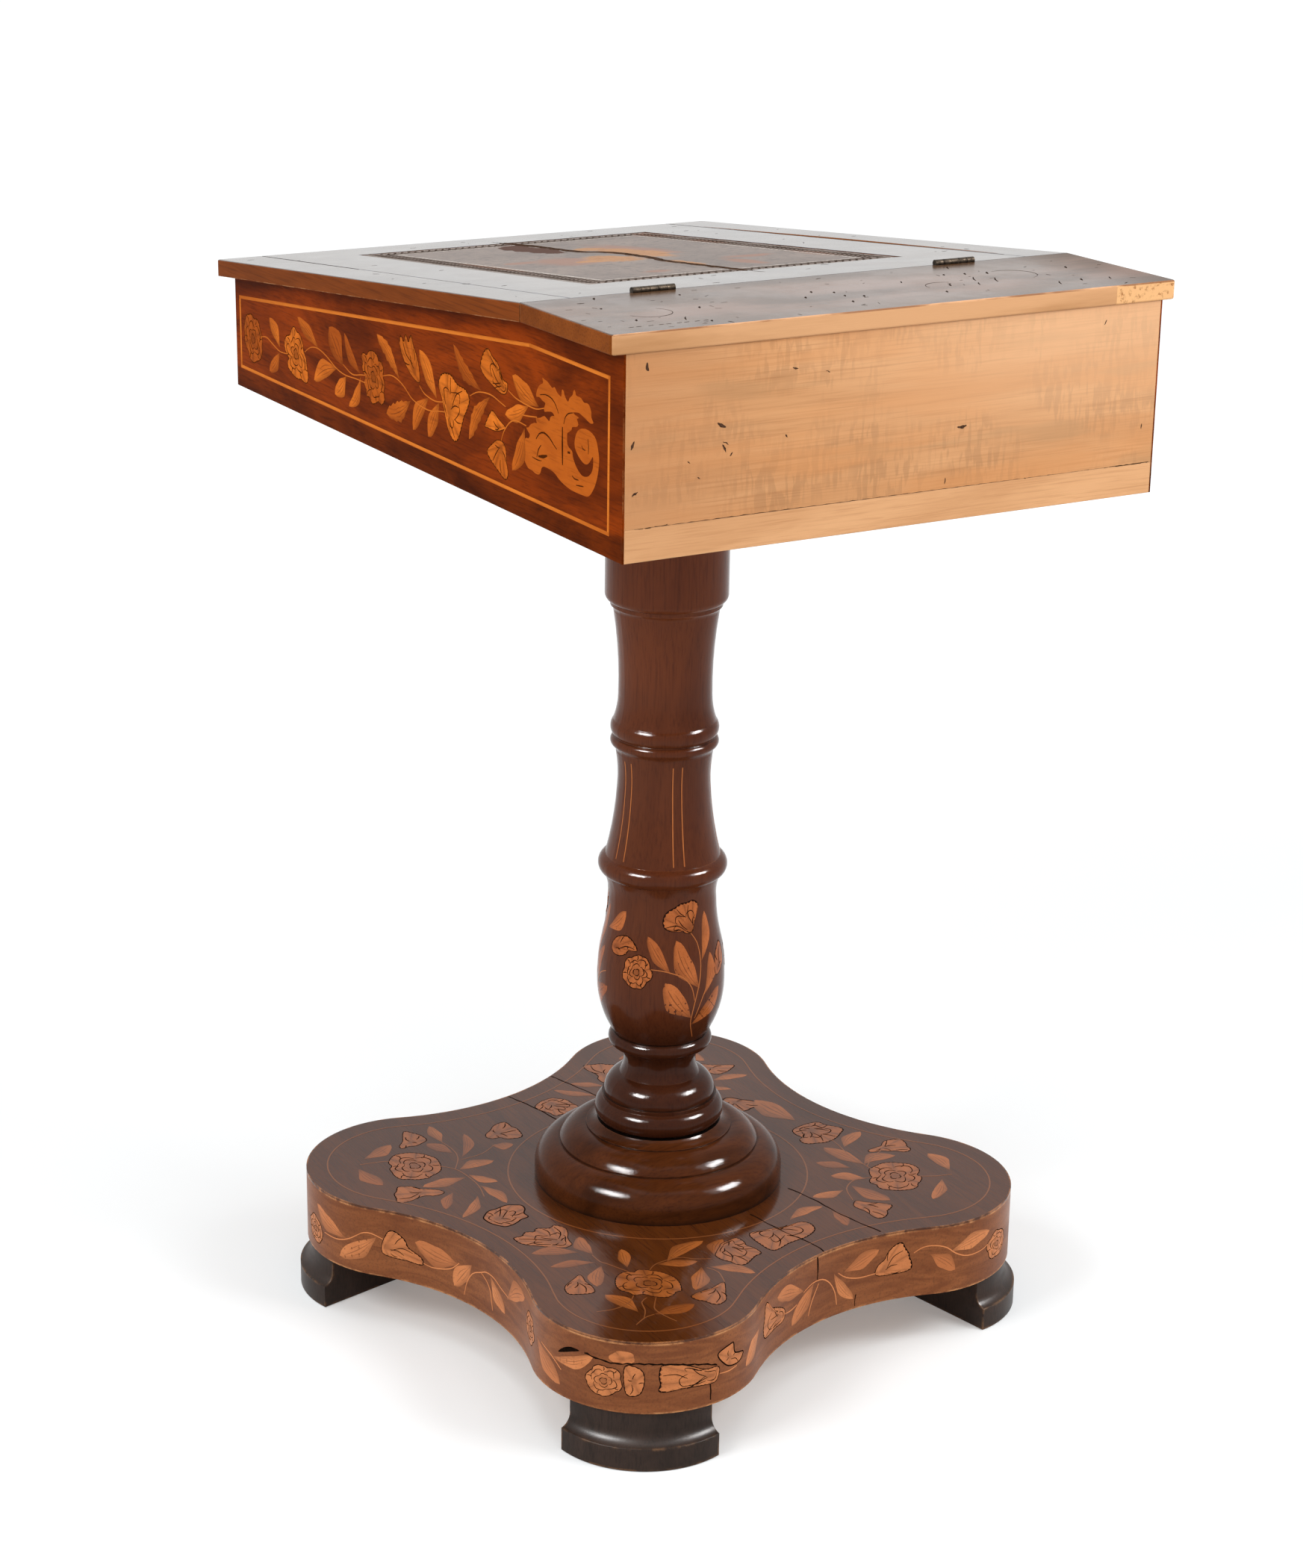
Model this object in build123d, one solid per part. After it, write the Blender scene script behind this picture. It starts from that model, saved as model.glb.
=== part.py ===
from build123d import *
import math
import os

# A small writing table: a shallow sloping case on a turned column, with a
# four-lobed platform and four block feet. Millimetres, +Z up, floor at Z 0.
# The origin lies under the middle of the top. The sitter's low side is -Y,
# the back is +Y, and the column stands a little behind the middle.

# Feet: corner blocks with a plinth, a cove and a neck on the curved outer side
foot_height = 40.0
foot_apex_past_lobe_centre = 7.1
foot_curve_past_lobe_centre = 16.4
foot_curve_radius = 69.0
foot_plinth_height = 16.5
foot_cove_height = 10.0
foot_cove_width = 7.5
foot_cove_sag = 2.4
foot_screws_past_lobe_centre = 46.4
foot_screw_spacing = 38.0
foot_screw_grip = 24.0

# Platform with four lobes, seen from above as a square turned against the case
base_turn = 12.2
platform_thickness = 53.5
lobe_centre = 127.0
lobe_radius = 79.4
waist_half = 172.0
middle_board_width = 100.0
base_veneer = 1.5

# Turned disc on the platform
disc_radius = 90.5
disc_plinth_height = 8.5
disc_round_height = 19.5
disc_round_width = 17.0
disc_round_bulge = 4.9
disc_step = 1.5
disc_dome_height = 10.5
disc_dome_width = 19.0
disc_dome_bulge = 3.3
disc_fillet_height = 1.0
disc_cove_height = 4.0
disc_cove_width = 8.0
disc_cove_sag = 1.1

# Turned column: lower mouldings
column_behind_middle = 10.0
column_height = 388.0
torus_radius = 46.8
torus_root = 41.7
torus_height = 17.5
bell_fillet_height = 2.8
bell_radius = 40.0
bell_foot_radius = 29.0
bell_height = 16.0
bell_bulge = 3.8
neck_top_radius = 29.5
neck_height = 21.7
neck_sag = 3.1
ring_radius = 37.4
ring_root = 32.6
ring_height = 11.5

# Turned column: vase and collar
vase_foot_radius = 34.2
vase_radius = 45.8
vase_belly_height = 42.0
vase_belly_bulge = 3.3
vase_shoulder_radius = 42.3
vase_shoulder_height = 33.0
vase_shoulder_bulge = 1.0
vase_neck_radius = 38.7
vase_waist_height = 28.0
vase_waist_sag = 0.8
vase_lip_radius = 41.6
vase_lip_height = 18.0
vase_lip_sag = 1.3
collar_radius = 45.7
collar_root = 41.0
collar_height = 14.5

# Turned column: upper part
baluster_radius = 33.0
baluster_height = 51.5
baluster_sag = 1.3
baluster_top_radius = 34.2
baluster_flare_height = 24.7
baluster_flare_sag = 0.8
moulding_cove_height = 4.6
moulding_cove_sag = 0.6
bead_radius = 38.2
bead_root = 36.2
bead_height = 7.0
bead_groove_height = 1.0
bead_groove_sag = 0.4
upper_torus_height = 11.0
shaft_flare_height = 18.4
shaft_flare_sag = 0.8
shaft_sag = 1.4
shaft_top_radius = 36.9
shaft_lip_radius = 39.0

# Cap over the column
cap_radius = 43.1
cap_height = 117.5
cap_fillet_radius = 39.2
cap_fillet_height = 2.6
cap_round_height = 5.6
cap_round_bulge = 1.1

# Tenons at the two ends of the column
bottom_tenon_radius = 18.0
top_tenon_radius = 16.0
tenon_clearance = 0.1
wedge_length = 30.0
wedge_thick_end = 4.0
wedge_thin_end = 1.6

# Case
case_width = 388.0
case_depth = 562.0
case_back_height = 123.5
case_front_height = 78.5
wall = 12.0
bottom_board = 20.0
case_veneer = 1.2
case_edge_round = 1.0
cleat_size = 130.0
cleat_thickness = 15.0
cleat_screw_inset = 16.0
dovetail_height = 15.0
dovetail_flare = 2.2
dovetail_lap = 3.0

# Top: a level strip at the back and a sloping lid in front of it
top_thickness = 12.0
strip_depth = 111.5
side_overhang = 9.0
back_overhang = 1.5
front_overhang = 10.5
top_edge_round = 1.2
top_corner_round = 3.0
joint_gap = 0.8
lid_seat_gap = 0.3
clamp_width = 34.0
clamp_crack = 0.9
tongue_length = 6.0
tongue_thickness = 4.0
leather_thickness = 1.0
leather_side_margin = 85.0
leather_front_margin = 57.0
leather_back_margin = 67.0

# Butt hinges let into the joint between the strip and the lid
hinge_spacing = 223.0
hinge_length = 30.0
knuckle_count = 5
knuckle_gap = 0.3
barrel_radius = 2.2
barrel_rise = 1.0
barrel_clearance = 0.4
pin_radius = 1.1
pin_clearance = 0.05
leaf_thickness = 1.2
leaf_margin = 1.8
hinge_screw_spacing = 18.0

# Countersunk wood screws: shank radius, head radius and length
hinge_screw = (1.0, 2.1, 9.0)
cleat_screw = (2.0, 4.0, 27.0)
foot_screw = (2.5, 5.0, 58.0)
screw_clearance = 0.05

# Heights that follow from the sizes above
platform_top = foot_height + platform_thickness
core_top = platform_top - base_veneer
disc_height = (disc_plinth_height + disc_round_height + disc_step + disc_dome_height
               + disc_fillet_height + disc_cove_height)
column_foot = platform_top + disc_height
column_shoulder = column_foot + column_height
underside = column_shoulder + cap_height
floor_inside = underside + bottom_board
case_top = underside + case_back_height
case_front_top = underside + case_front_height
top_face = case_top + top_thickness

# Distances along Y, from the middle of the top
top_depth = back_overhang + case_depth + front_overhang
top_back = top_depth / 2
top_front = -top_depth / 2
case_back = top_back - back_overhang
case_front = top_front + front_overhang
joint_y = top_back - strip_depth
case_half = case_width / 2
top_half = case_half + side_overhang
lid_slope = (case_top - case_front_top) / (joint_y - case_front)
lid_thickness = top_thickness - lid_seat_gap
lid_back = joint_y - joint_gap / 2
strip_front = joint_y + joint_gap / 2
hinge_axis = (joint_y, top_face + barrel_rise)

# Distances outwards from the column's axis along a lobe
lobe_distance = lobe_centre * math.sqrt(2)
foot_apex = lobe_distance + foot_apex_past_lobe_centre
foot_curve_centre = lobe_distance + foot_curve_past_lobe_centre
foot_screw_distance = lobe_distance + foot_screws_past_lobe_centre


def block(x0, x1, y0, y1, z0, z1):
    """Box given by its limits along each axis."""
    corner = Pos(x0, y0, z0)
    return corner * Box(x1 - x0, y1 - y0, z1 - z0, align=(Align.MIN, Align.MIN, Align.MIN))


def cylinder(radius, z0, z1, x=0.0, y=0.0):
    """Upright cylinder from z0 to z1."""
    return Pos(x, y, z0) * Cylinder(radius, z1 - z0, align=(Align.CENTER, Align.CENTER, Align.MIN))


def turned(start_radius, z, steps, inner=0.0):
    """Body turned about Z. Each step is (rise, radius, bulge), with a bulge above zero for a convex arc."""
    here = (start_radius, z)
    edges = [Line((inner, z), here)]
    for rise, radius, bulge in steps:
        there = (radius, here[1] + rise)
        if bulge:
            run = math.dist(here, there)
            outward = ((there[1] - here[1]) / run, (here[0] - there[0]) / run)
            middle = ((here[0] + there[0]) / 2 + outward[0] * bulge,
                      (here[1] + there[1]) / 2 + outward[1] * bulge)
            edges.append(ThreePointArc(here, middle, there))
        else:
            edges.append(Line(here, there))
        here = there
    edges.append(Line(here, (inner, here[1])))
    edges.append(Line((inner, here[1]), (inner, z)))
    return revolve(Plane.XZ * make_face(edges), Axis.Z)


def side_profile(points, x0, x1):
    """Prism along X from points given as (y, z)."""
    face = make_face(Polyline(*points, close=True))
    return extrude(Plane.YZ.offset(x0) * face, x1 - x0)


def screw(size, clearance=0.0):
    """Countersunk screw pointing down from Z 0, where its head is flush."""
    shank, head, length = size
    countersink = head - shank
    steps = [
        (length - countersink + clearance, shank + clearance, 0),
        (countersink, head + clearance, 0),
    ]
    return turned(shank + clearance, -length - clearance, steps)


# Platform

def platform_face(inset=0.0):
    """Four convex lobes joined by four hollows, drawn in by inset."""
    bite = lobe_centre - waist_half + lobe_radius
    rise = (lobe_centre ** 2 - bite ** 2) / (2 * bite)
    hollow_centre = lobe_centre + rise
    hollow_radius = hollow_centre - waist_half
    reach = math.hypot(lobe_centre, rise)
    radius = lobe_radius - inset
    near = (lobe_centre - lobe_centre / reach * radius, lobe_centre + rise / reach * radius)
    far = (near[1], near[0])
    tip = lobe_centre + radius / math.sqrt(2)
    waist = hollow_centre - hollow_radius - inset
    lobe = ThreePointArc(near, (tip, tip), far)
    hollow = ThreePointArc(far, (waist, 0), (far[0], -far[1]))
    edges = []
    for quarter in range(4):
        turn = Rot(0, 0, -90 * quarter)
        edges += [turn * lobe, turn * hollow]
    return make_face(edges)


def under_column(shape):
    """Things made round the Z axis move to the column's place."""
    return Pos(0, column_behind_middle, 0) * shape


def turn_base(shape):
    """The base stands turned under the case."""
    return under_column(Rot(0, 0, base_turn) * shape)


def make_platform():
    """Three core boards, a band of edge veneer and a sheet of top veneer."""
    core = Pos(0, 0, foot_height) * extrude(platform_face(base_veneer), core_top - foot_height)
    core -= cylinder(bottom_tenon_radius + tenon_clearance, foot_height, core_top)
    for foot in foot_places():
        for place in foot_screw_places():
            core -= foot * place * screw(foot_screw, screw_clearance)
    reach = lobe_centre + lobe_radius
    half = middle_board_width / 2
    limits = {
        "platform_board_left": (-reach, -half),
        "platform_board_middle": (-half, half),
        "platform_board_right": (half, reach),
    }
    pieces = {}
    for name, (x0, x1) in limits.items():
        pieces[name] = turn_base(core & block(x0, x1, -reach, reach, foot_height, core_top))
    band = extrude(platform_face() - platform_face(base_veneer), core_top - foot_height)
    pieces["platform_edge_veneer"] = turn_base(Pos(0, 0, foot_height) * band)
    sheet = Pos(0, 0, core_top) * extrude(platform_face(), base_veneer)
    sheet -= cylinder(bottom_tenon_radius + tenon_clearance, core_top, platform_top)
    pieces["platform_top_veneer"] = turn_base(sheet)
    return pieces


# Feet

def foot_places():
    """One place per foot, with X pointing outwards along the lobe."""
    return [Rot(0, 0, 45 + 90 * corner) for corner in range(4)]


def foot_screw_places():
    """Screw heads sit in pockets in the foot's underside."""
    head = foot_height + foot_screw_grip - foot_screw[2]
    return [
        Pos(foot_screw_distance, side * foot_screw_spacing / 2, head) * Rot(180, 0, 0)
        for side in (-1, 1)
    ]


def make_foot():
    """Corner block: a turned outer side between two flat sides at right angles to each other."""
    neck_radius = foot_curve_radius - foot_cove_width
    steps = [
        (foot_plinth_height, foot_curve_radius, 0),
        (foot_cove_height, neck_radius, -foot_cove_sag),
        (foot_height - foot_plinth_height - foot_cove_height, neck_radius, 0),
    ]
    round_block = Pos(foot_curve_centre, 0, 0) * turned(foot_curve_radius, 0, steps)
    reach = foot_curve_centre + foot_curve_radius - foot_apex
    corner = make_face(Polyline((foot_apex, 0), (foot_apex + reach, -reach), (foot_apex + reach, reach), close=True))
    foot = round_block & extrude(corner, foot_height)
    for place in foot_screw_places():
        foot -= place * screw(foot_screw, screw_clearance)
        pocket = cylinder(foot_screw[1] + screw_clearance, 0, place.position.Z, place.position.X, place.position.Y)
        foot -= pocket
    return foot


def make_feet():
    """Four feet under the lobes, and the screws that hold them."""
    names = ["foot_back_right", "foot_back_left", "foot_front_left", "foot_front_right"]
    foot = make_foot()
    pieces = {}
    screws = []
    for name, place in zip(names, foot_places()):
        pieces[name] = turn_base(place * foot)
        screws += [turn_base(place * spot * screw(foot_screw)) for spot in foot_screw_places()]
    pieces["foot_screws"] = Compound(screws)
    return pieces


# Turned pieces

def make_disc():
    """Stepped disc: plinth, quarter round, dome and a cove up to the column."""
    round_inner = disc_radius - disc_round_width
    dome_outer = round_inner - disc_step
    dome_inner = dome_outer - disc_dome_width
    steps = [
        (disc_plinth_height, disc_radius, 0),
        (disc_round_height, round_inner, disc_round_bulge),
        (0, dome_outer, 0),
        (disc_step, dome_outer, 0),
        (disc_dome_height, dome_inner, disc_dome_bulge),
        (disc_fillet_height, dome_inner, 0),
        (disc_cove_height, dome_inner - disc_cove_width, -disc_cove_sag),
    ]
    return under_column(turned(disc_radius, platform_top, steps, inner=bottom_tenon_radius + tenon_clearance))


def column_steps():
    """Mouldings from the column's foot to its shoulder. The upper shaft takes the height that is left."""
    steps = [
        (torus_height, torus_root, torus_radius - torus_root),
        (bell_fillet_height, torus_root, 0),
        (0, bell_radius, 0),
        (bell_height, bell_foot_radius, bell_bulge),
        (neck_height, neck_top_radius, -neck_sag),
        (0, ring_root, 0),
        (ring_height, ring_root, ring_radius - ring_root),
        (0, vase_foot_radius, 0),
        (vase_belly_height, vase_radius, vase_belly_bulge),
        (vase_shoulder_height, vase_shoulder_radius, vase_shoulder_bulge),
        (vase_waist_height, vase_neck_radius, -vase_waist_sag),
        (vase_lip_height, vase_lip_radius, -vase_lip_sag),
        (collar_height, collar_root, collar_radius - collar_root),
        (baluster_height, baluster_radius, -baluster_sag),
        (baluster_flare_height, baluster_top_radius, -baluster_flare_sag),
        (moulding_cove_height, bead_root, -moulding_cove_sag),
        (bead_height, bead_root, bead_radius - bead_root),
        (bead_groove_height, bead_root, -bead_groove_sag),
        (upper_torus_height, bead_root, bead_radius - bead_root),
        (shaft_flare_height, baluster_radius, -shaft_flare_sag),
    ]
    lip = (moulding_cove_height, shaft_lip_radius, -moulding_cove_sag)
    used = sum(rise for rise, radius, bulge in steps) + moulding_cove_height
    return steps + [(column_height - used, shaft_top_radius, -shaft_sag), lip]


def wedge(z, direction):
    """Tapered wedge driven into a tenon's end, with its thick end at z."""
    tip = z + direction * wedge_length
    thick = wedge_thick_end / 2
    thin = wedge_thin_end / 2
    return [(-thick, z), (thick, z), (thin, tip), (-thin, tip)]


def make_column():
    """Column with its two round tenons, the cap above it and the wedges that spread the tenons."""
    tenon_top = floor_inside + cleat_thickness
    steps = [(column_foot - foot_height, bottom_tenon_radius, 0)]
    steps += [(0, torus_root, 0)] + column_steps()
    steps += [(0, top_tenon_radius, 0), (tenon_top - column_shoulder, top_tenon_radius, 0)]
    shaft = turned(bottom_tenon_radius, foot_height, steps)
    bottom_wedge = side_profile(wedge(foot_height, 1), -bottom_tenon_radius, bottom_tenon_radius)
    bottom_wedge &= cylinder(bottom_tenon_radius, foot_height, column_foot)
    top_wedge = side_profile(wedge(tenon_top, -1), -top_tenon_radius, top_tenon_radius)
    top_wedge &= cylinder(top_tenon_radius, column_shoulder, tenon_top)
    cap_steps = [
        (cap_fillet_height, cap_fillet_radius, 0),
        (cap_round_height, cap_radius, cap_round_bulge),
        (cap_height - cap_fillet_height - cap_round_height, cap_radius, 0),
    ]
    cap = turned(cap_fillet_radius, column_shoulder, cap_steps, inner=top_tenon_radius + tenon_clearance)
    return {
        "column_shaft": under_column(shaft - bottom_wedge - top_wedge),
        "column_cap": under_column(cap),
        "bottom_tenon_wedge": under_column(bottom_wedge),
        "top_tenon_wedge": under_column(top_wedge),
    }


# Case

def case_prism():
    """The case's outer form: level under the strip, then sloping down to the front."""
    points = [
        (case_front, underside), (case_back, underside), (case_back, case_top),
        (joint_y, case_top), (case_front, case_front_top),
    ]
    return side_profile(points, -case_half, case_half)


def front_tails():
    """Dovetail pins of the front that enter the ends of one side, as seen along Y."""
    inner = case_half - case_veneer - wall
    outer = case_half - case_veneer - dovetail_lap
    room = case_front_top - floor_inside - 2 * dovetail_flare
    count = max(1, int(room // (2 * dovetail_height)))
    pitch = room / count
    pins = []
    for index in range(count):
        middle = floor_inside + dovetail_flare + pitch * (index + 0.5)
        root = dovetail_height / 2
        tip = root - dovetail_flare
        points = [(inner, middle - tip), (outer, middle - root), (outer, middle + root), (inner, middle + tip)]
        face = make_face(Polyline(*points, close=True))
        start = case_front + case_veneer + wall
        pins.append(Pos(0, start, 0) * extrude(Plane.XZ * face, wall))
    return pins


def make_case():
    """Bottom, back, front and two sides of solid wood, with veneer on the front and sides."""
    prism = case_prism()
    x = case_half - case_veneer
    front = case_front + case_veneer
    back_inner = case_back - wall
    front_inner = front + wall
    bottom = block(-x, x, front, case_back, underside, floor_inside)
    bottom -= under_column(cylinder(top_tenon_radius + tenon_clearance, underside, floor_inside))
    back = block(-x, x, back_inner, case_back, floor_inside, case_top)
    left = block(-x, -x + wall, front, back_inner, floor_inside, case_top) & prism
    right = block(x - wall, x, front, back_inner, floor_inside, case_top) & prism
    face = block(-x + wall, x - wall, front, front_inner, floor_inside, case_top) & prism
    for pin in front_tails():
        for tail in (pin, mirror(pin, Plane.YZ)):
            left -= tail
            right -= tail
            face += tail & prism
    side = block(x, case_half, case_front, case_back, underside, case_top) & prism
    front_corner = side.edges().filter_by(Axis.Z).group_by(Axis.Y)[0].sort_by(Axis.X)[-1]
    side = fillet(front_corner, case_edge_round)
    veneers = {
        "side_veneer_left": mirror(side, Plane.YZ),
        "side_veneer_right": side,
        "front_veneer": block(-x, x, case_front, front, underside, case_top) & prism,
    }
    half = cleat_size / 2
    cleat_top = floor_inside + cleat_thickness
    cleat = block(-half, half, -half, half, floor_inside, cleat_top)
    cleat = under_column(cleat - cylinder(top_tenon_radius + tenon_clearance, floor_inside, cleat_top))
    corner = half - cleat_screw_inset
    screws = []
    for sx in (-1, 1):
        for sy in (-1, 1):
            place = Pos(sx * corner, column_behind_middle + sy * corner, cleat_top)
            screws.append(place * screw(cleat_screw))
            cleat -= place * screw(cleat_screw, screw_clearance)
            bottom -= place * screw(cleat_screw, screw_clearance)
    pieces = {
        "case_bottom": bottom,
        "case_back": back,
        "case_front": face,
        "case_side_left": left,
        "case_side_right": right,
        "column_cleat": cleat,
        "cleat_screws": Compound(screws),
    }
    return pieces | veneers


# Hinges

def along_hinge(radius, x0, x1):
    """Cylinder about the hinge's axis from x0 to x1."""
    y, z = hinge_axis
    lying = Rot(0, 90, 0) * Cylinder(radius, x1 - x0, align=(Align.CENTER, Align.CENTER, Align.MIN))
    return Pos(x0, y, z) * lying


def hinge_screw_places(x, side):
    """Places of the two screws of one leaf; side is 1 for the strip and -1 for the lid."""
    y = joint_y + side * joint_gap / 2
    leaf_bottom = case_top + leaf_margin
    z = (leaf_bottom + top_face) / 2 - barrel_rise / 2
    tilt = Rot(90 * side, 0, 0)
    return [Pos(x + step * hinge_screw_spacing / 2, y, z) * tilt for step in (-1, 1)]


def hinge_leaf(x, side):
    """One leaf with its share of the knuckles; side is 1 for the strip and -1 for the lid."""
    start = x - hinge_length / 2
    near = joint_y + side * joint_gap / 2
    far = near + side * leaf_thickness
    plate_y = (min(near, far), max(near, far))
    leaf_bottom = case_top + leaf_margin
    plate = block(start, start + hinge_length, *plate_y, leaf_bottom, hinge_axis[1])
    plate -= along_hinge(barrel_radius + barrel_clearance, start, start + hinge_length)
    pitch = hinge_length / knuckle_count
    for index in range(knuckle_count):
        if index % 2 == (0 if side > 0 else 1):
            x0 = start + index * pitch + (knuckle_gap / 2 if index else 0)
            x1 = start + (index + 1) * pitch - (knuckle_gap / 2 if index < knuckle_count - 1 else 0)
            low = top_face - barrel_radius - barrel_clearance
            plate += block(x0, x1, *plate_y, low, hinge_axis[1]) + along_hinge(barrel_radius, x0, x1)
    plate -= along_hinge(pin_radius + pin_clearance, start, start + hinge_length)
    for place in hinge_screw_places(x, side):
        plate -= place * screw(hinge_screw, screw_clearance)
    return plate


def cut_hinge_seats(board, side):
    """Cut the mortises for the leaves, the screw holes and the hollow round the barrels."""
    for x in (-hinge_spacing / 2, hinge_spacing / 2):
        start = x - hinge_length / 2
        near = joint_y + side * joint_gap / 2
        far = near + side * leaf_thickness
        leaf_bottom = case_top + leaf_margin
        board -= block(start, start + hinge_length, min(near, far), max(near, far), leaf_bottom, top_face + 1)
        ends = (start - barrel_clearance, start + hinge_length + barrel_clearance)
        board -= along_hinge(barrel_radius + barrel_clearance, *ends)
        for place in hinge_screw_places(x, side):
            board -= place * screw(hinge_screw, screw_clearance)
    return board


def make_hinges():
    """A left and a right butt hinge with loose pins, and their screws."""
    pieces = {}
    strip_screws = []
    lid_screws = []
    for name, x in (("left", -hinge_spacing / 2), ("right", hinge_spacing / 2)):
        pieces["hinge_strip_leaf_" + name] = hinge_leaf(x, 1)
        pieces["hinge_lid_leaf_" + name] = hinge_leaf(x, -1)
        pieces["hinge_pin_" + name] = along_hinge(pin_radius, x - hinge_length / 2, x + hinge_length / 2)
        strip_screws += [place * screw(hinge_screw) for place in hinge_screw_places(x, 1)]
        lid_screws += [place * screw(hinge_screw) for place in hinge_screw_places(x, -1)]
    pieces["hinge_strip_screws"] = Compound(strip_screws)
    pieces["hinge_lid_screws"] = Compound(lid_screws)
    return pieces


# Top

def make_strip():
    """Level board fixed along the back, with softened outer edges."""
    strip = block(-top_half, top_half, strip_front, top_back, case_top, top_face)
    corners = strip.edges().filter_by(Axis.Z).group_by(Axis.Y)[-1]
    strip = fillet(corners, top_corner_round)
    outer = [
        edge for edge in strip.edges().filter_by(Axis.X) + strip.edges().filter_by(Axis.Y)
        if edge.center().Y > strip_front + 1
    ]
    rounds = [edge for edge in strip.edges() if edge.geom_type == GeomType.CIRCLE]
    strip = fillet(outer + rounds, top_edge_round)
    return cut_hinge_seats(strip, 1)


def lid_slice(x0, x1, y0, y1, depth0, depth1):
    """Part of the lid between two depths below its top face, with the lid's slope."""
    def height(y, depth):
        return top_face + lid_slope * (y - joint_y) - depth
    points = [(y0, height(y0, depth1)), (y1, height(y1, depth1)), (y1, height(y1, depth0)), (y0, height(y0, depth0))]
    return side_profile(points, x0, x1)


def make_lid():
    """Two boards with a sunk leather, between two edge pieces that their tongues enter."""
    panel_half = top_half - clamp_width
    shoulder = panel_half - clamp_crack
    tongue_end = panel_half + tongue_length
    tongue_low = (lid_thickness - tongue_thickness) / 2
    tongue = lid_slice(-tongue_end, tongue_end, top_front + clamp_width, lid_back - clamp_width,
                       tongue_low, tongue_low + tongue_thickness)
    leather_half = top_half - leather_side_margin
    leather_y = (top_front + leather_front_margin, joint_y - leather_back_margin)
    leather = lid_slice(-leather_half, leather_half, *leather_y, 0, leather_thickness)
    panel = lid_slice(-shoulder, shoulder, top_front, lid_back, 0, lid_thickness)
    front_edges = panel.edges().filter_by(Axis.X).group_by(Axis.Y)[0]
    panel = fillet(front_edges, top_edge_round) + tongue - leather
    panel = cut_hinge_seats(panel, -1)
    clamp = lid_slice(panel_half, top_half, top_front, lid_back, 0, lid_thickness)
    corner = clamp.edges().filter_by(Axis.Z).sort_by(Axis.Y)[:2].sort_by(Axis.X)[-1]
    clamp = fillet(corner, top_corner_round)
    upper_face = clamp.faces().filter_by(lambda face: face.normal_at().Z > 0.5)[0]
    outer = [
        edge for edge in upper_face.edges()
        if edge.center().X > panel_half + 1 and edge.center().Y < lid_back - 1
    ]
    clamp = fillet(outer, top_edge_round) - tongue
    half_space = (top_front - 50, top_back, underside, top_face + 50)
    return {
        "lid_board_left": panel & block(-tongue_end, 0, *half_space),
        "lid_board_right": panel & block(0, tongue_end, *half_space),
        "lid_edge_left": mirror(clamp, Plane.YZ),
        "lid_edge_right": clamp,
        "lid_leather": leather,
    }


def all_pieces():
    """Every piece by its name."""
    pieces = make_feet()
    pieces |= make_platform()
    pieces["pedestal_disc"] = make_disc()
    pieces |= make_column()
    pieces |= make_case()
    pieces["rear_strip"] = make_strip()
    pieces |= make_lid()
    pieces |= make_hinges()
    return pieces


os.makedirs("parts", exist_ok=True)
for piece_name, piece in all_pieces().items():
    export_step(piece, f"parts/{piece_name}.step")
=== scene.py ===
import bpy
import math
import random
from mathutils import Matrix, Vector
from mathutils.geometry import tessellate_polygon


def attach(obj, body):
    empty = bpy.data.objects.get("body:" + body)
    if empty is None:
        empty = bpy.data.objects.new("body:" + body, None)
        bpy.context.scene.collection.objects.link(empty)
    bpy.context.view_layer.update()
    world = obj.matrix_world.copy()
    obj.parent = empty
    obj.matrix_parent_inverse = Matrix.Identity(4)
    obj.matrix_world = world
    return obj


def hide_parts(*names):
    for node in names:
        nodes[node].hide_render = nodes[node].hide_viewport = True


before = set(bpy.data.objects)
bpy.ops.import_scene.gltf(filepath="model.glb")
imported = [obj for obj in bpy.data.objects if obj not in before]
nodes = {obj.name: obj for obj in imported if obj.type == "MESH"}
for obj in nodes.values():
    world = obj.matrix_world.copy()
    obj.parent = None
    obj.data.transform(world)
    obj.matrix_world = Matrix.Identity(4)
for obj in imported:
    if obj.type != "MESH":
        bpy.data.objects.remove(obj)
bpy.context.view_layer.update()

# Feet
# Four ebonised corner blocks of stained hardwood, each with a turned cove on its outer side and a plinth.
# They are screwed up into the platform from pockets in their undersides.


def node(tree, kind, inputs=None, **settings):
    """One shader node. An input is given a value or another node's output."""
    made = tree.nodes.new(kind)
    for key, value in settings.items():
        setattr(made, key, value)
    for key, value in (inputs or {}).items():
        if isinstance(value, bpy.types.NodeSocket):
            tree.links.new(value, made.inputs[key])
        else:
            made.inputs[key].default_value = value
    return made


def ramp(tree, value, low, high, result_low=0.0, result_high=1.0):
    """A soft step of a value from low to high."""
    return node(tree, "ShaderNodeMapRange", {
        "Value": value, "From Min": low, "From Max": high, "To Min": result_low, "To Max": result_high,
    }, interpolation_type="SMOOTHSTEP").outputs["Result"]


def arithmetic(tree, operation, first, second=0.0):
    """One sum of two values."""
    return node(tree, "ShaderNodeMath", {0: first, 1: second}, operation=operation).outputs[0]


def times(tree, first, second):
    """The product of two values."""
    return arithmetic(tree, "MULTIPLY", first, second)


def tint(tree, amount, first, second, way="MIX"):
    """Two colours laid over each other."""
    mixed = node(tree, "ShaderNodeMix", {0: amount}, data_type="RGBA", blend_type=way)
    for index, colour in ((6, first), (7, second)):
        if isinstance(colour, bpy.types.NodeSocket):
            tree.links.new(colour, mixed.inputs[index])
        else:
            mixed.inputs[index].default_value = (*colour, 1.0)
    return mixed.outputs[2]


def noise(tree, place, scale, detail=3.0, roughness=0.55, distortion=0.0):
    """Soft random blotches with the given number per metre."""
    return node(tree, "ShaderNodeTexNoise", {
        "Vector": place, "Scale": scale, "Detail": detail, "Roughness": roughness, "Distortion": distortion,
    }).outputs["Fac"]


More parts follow.
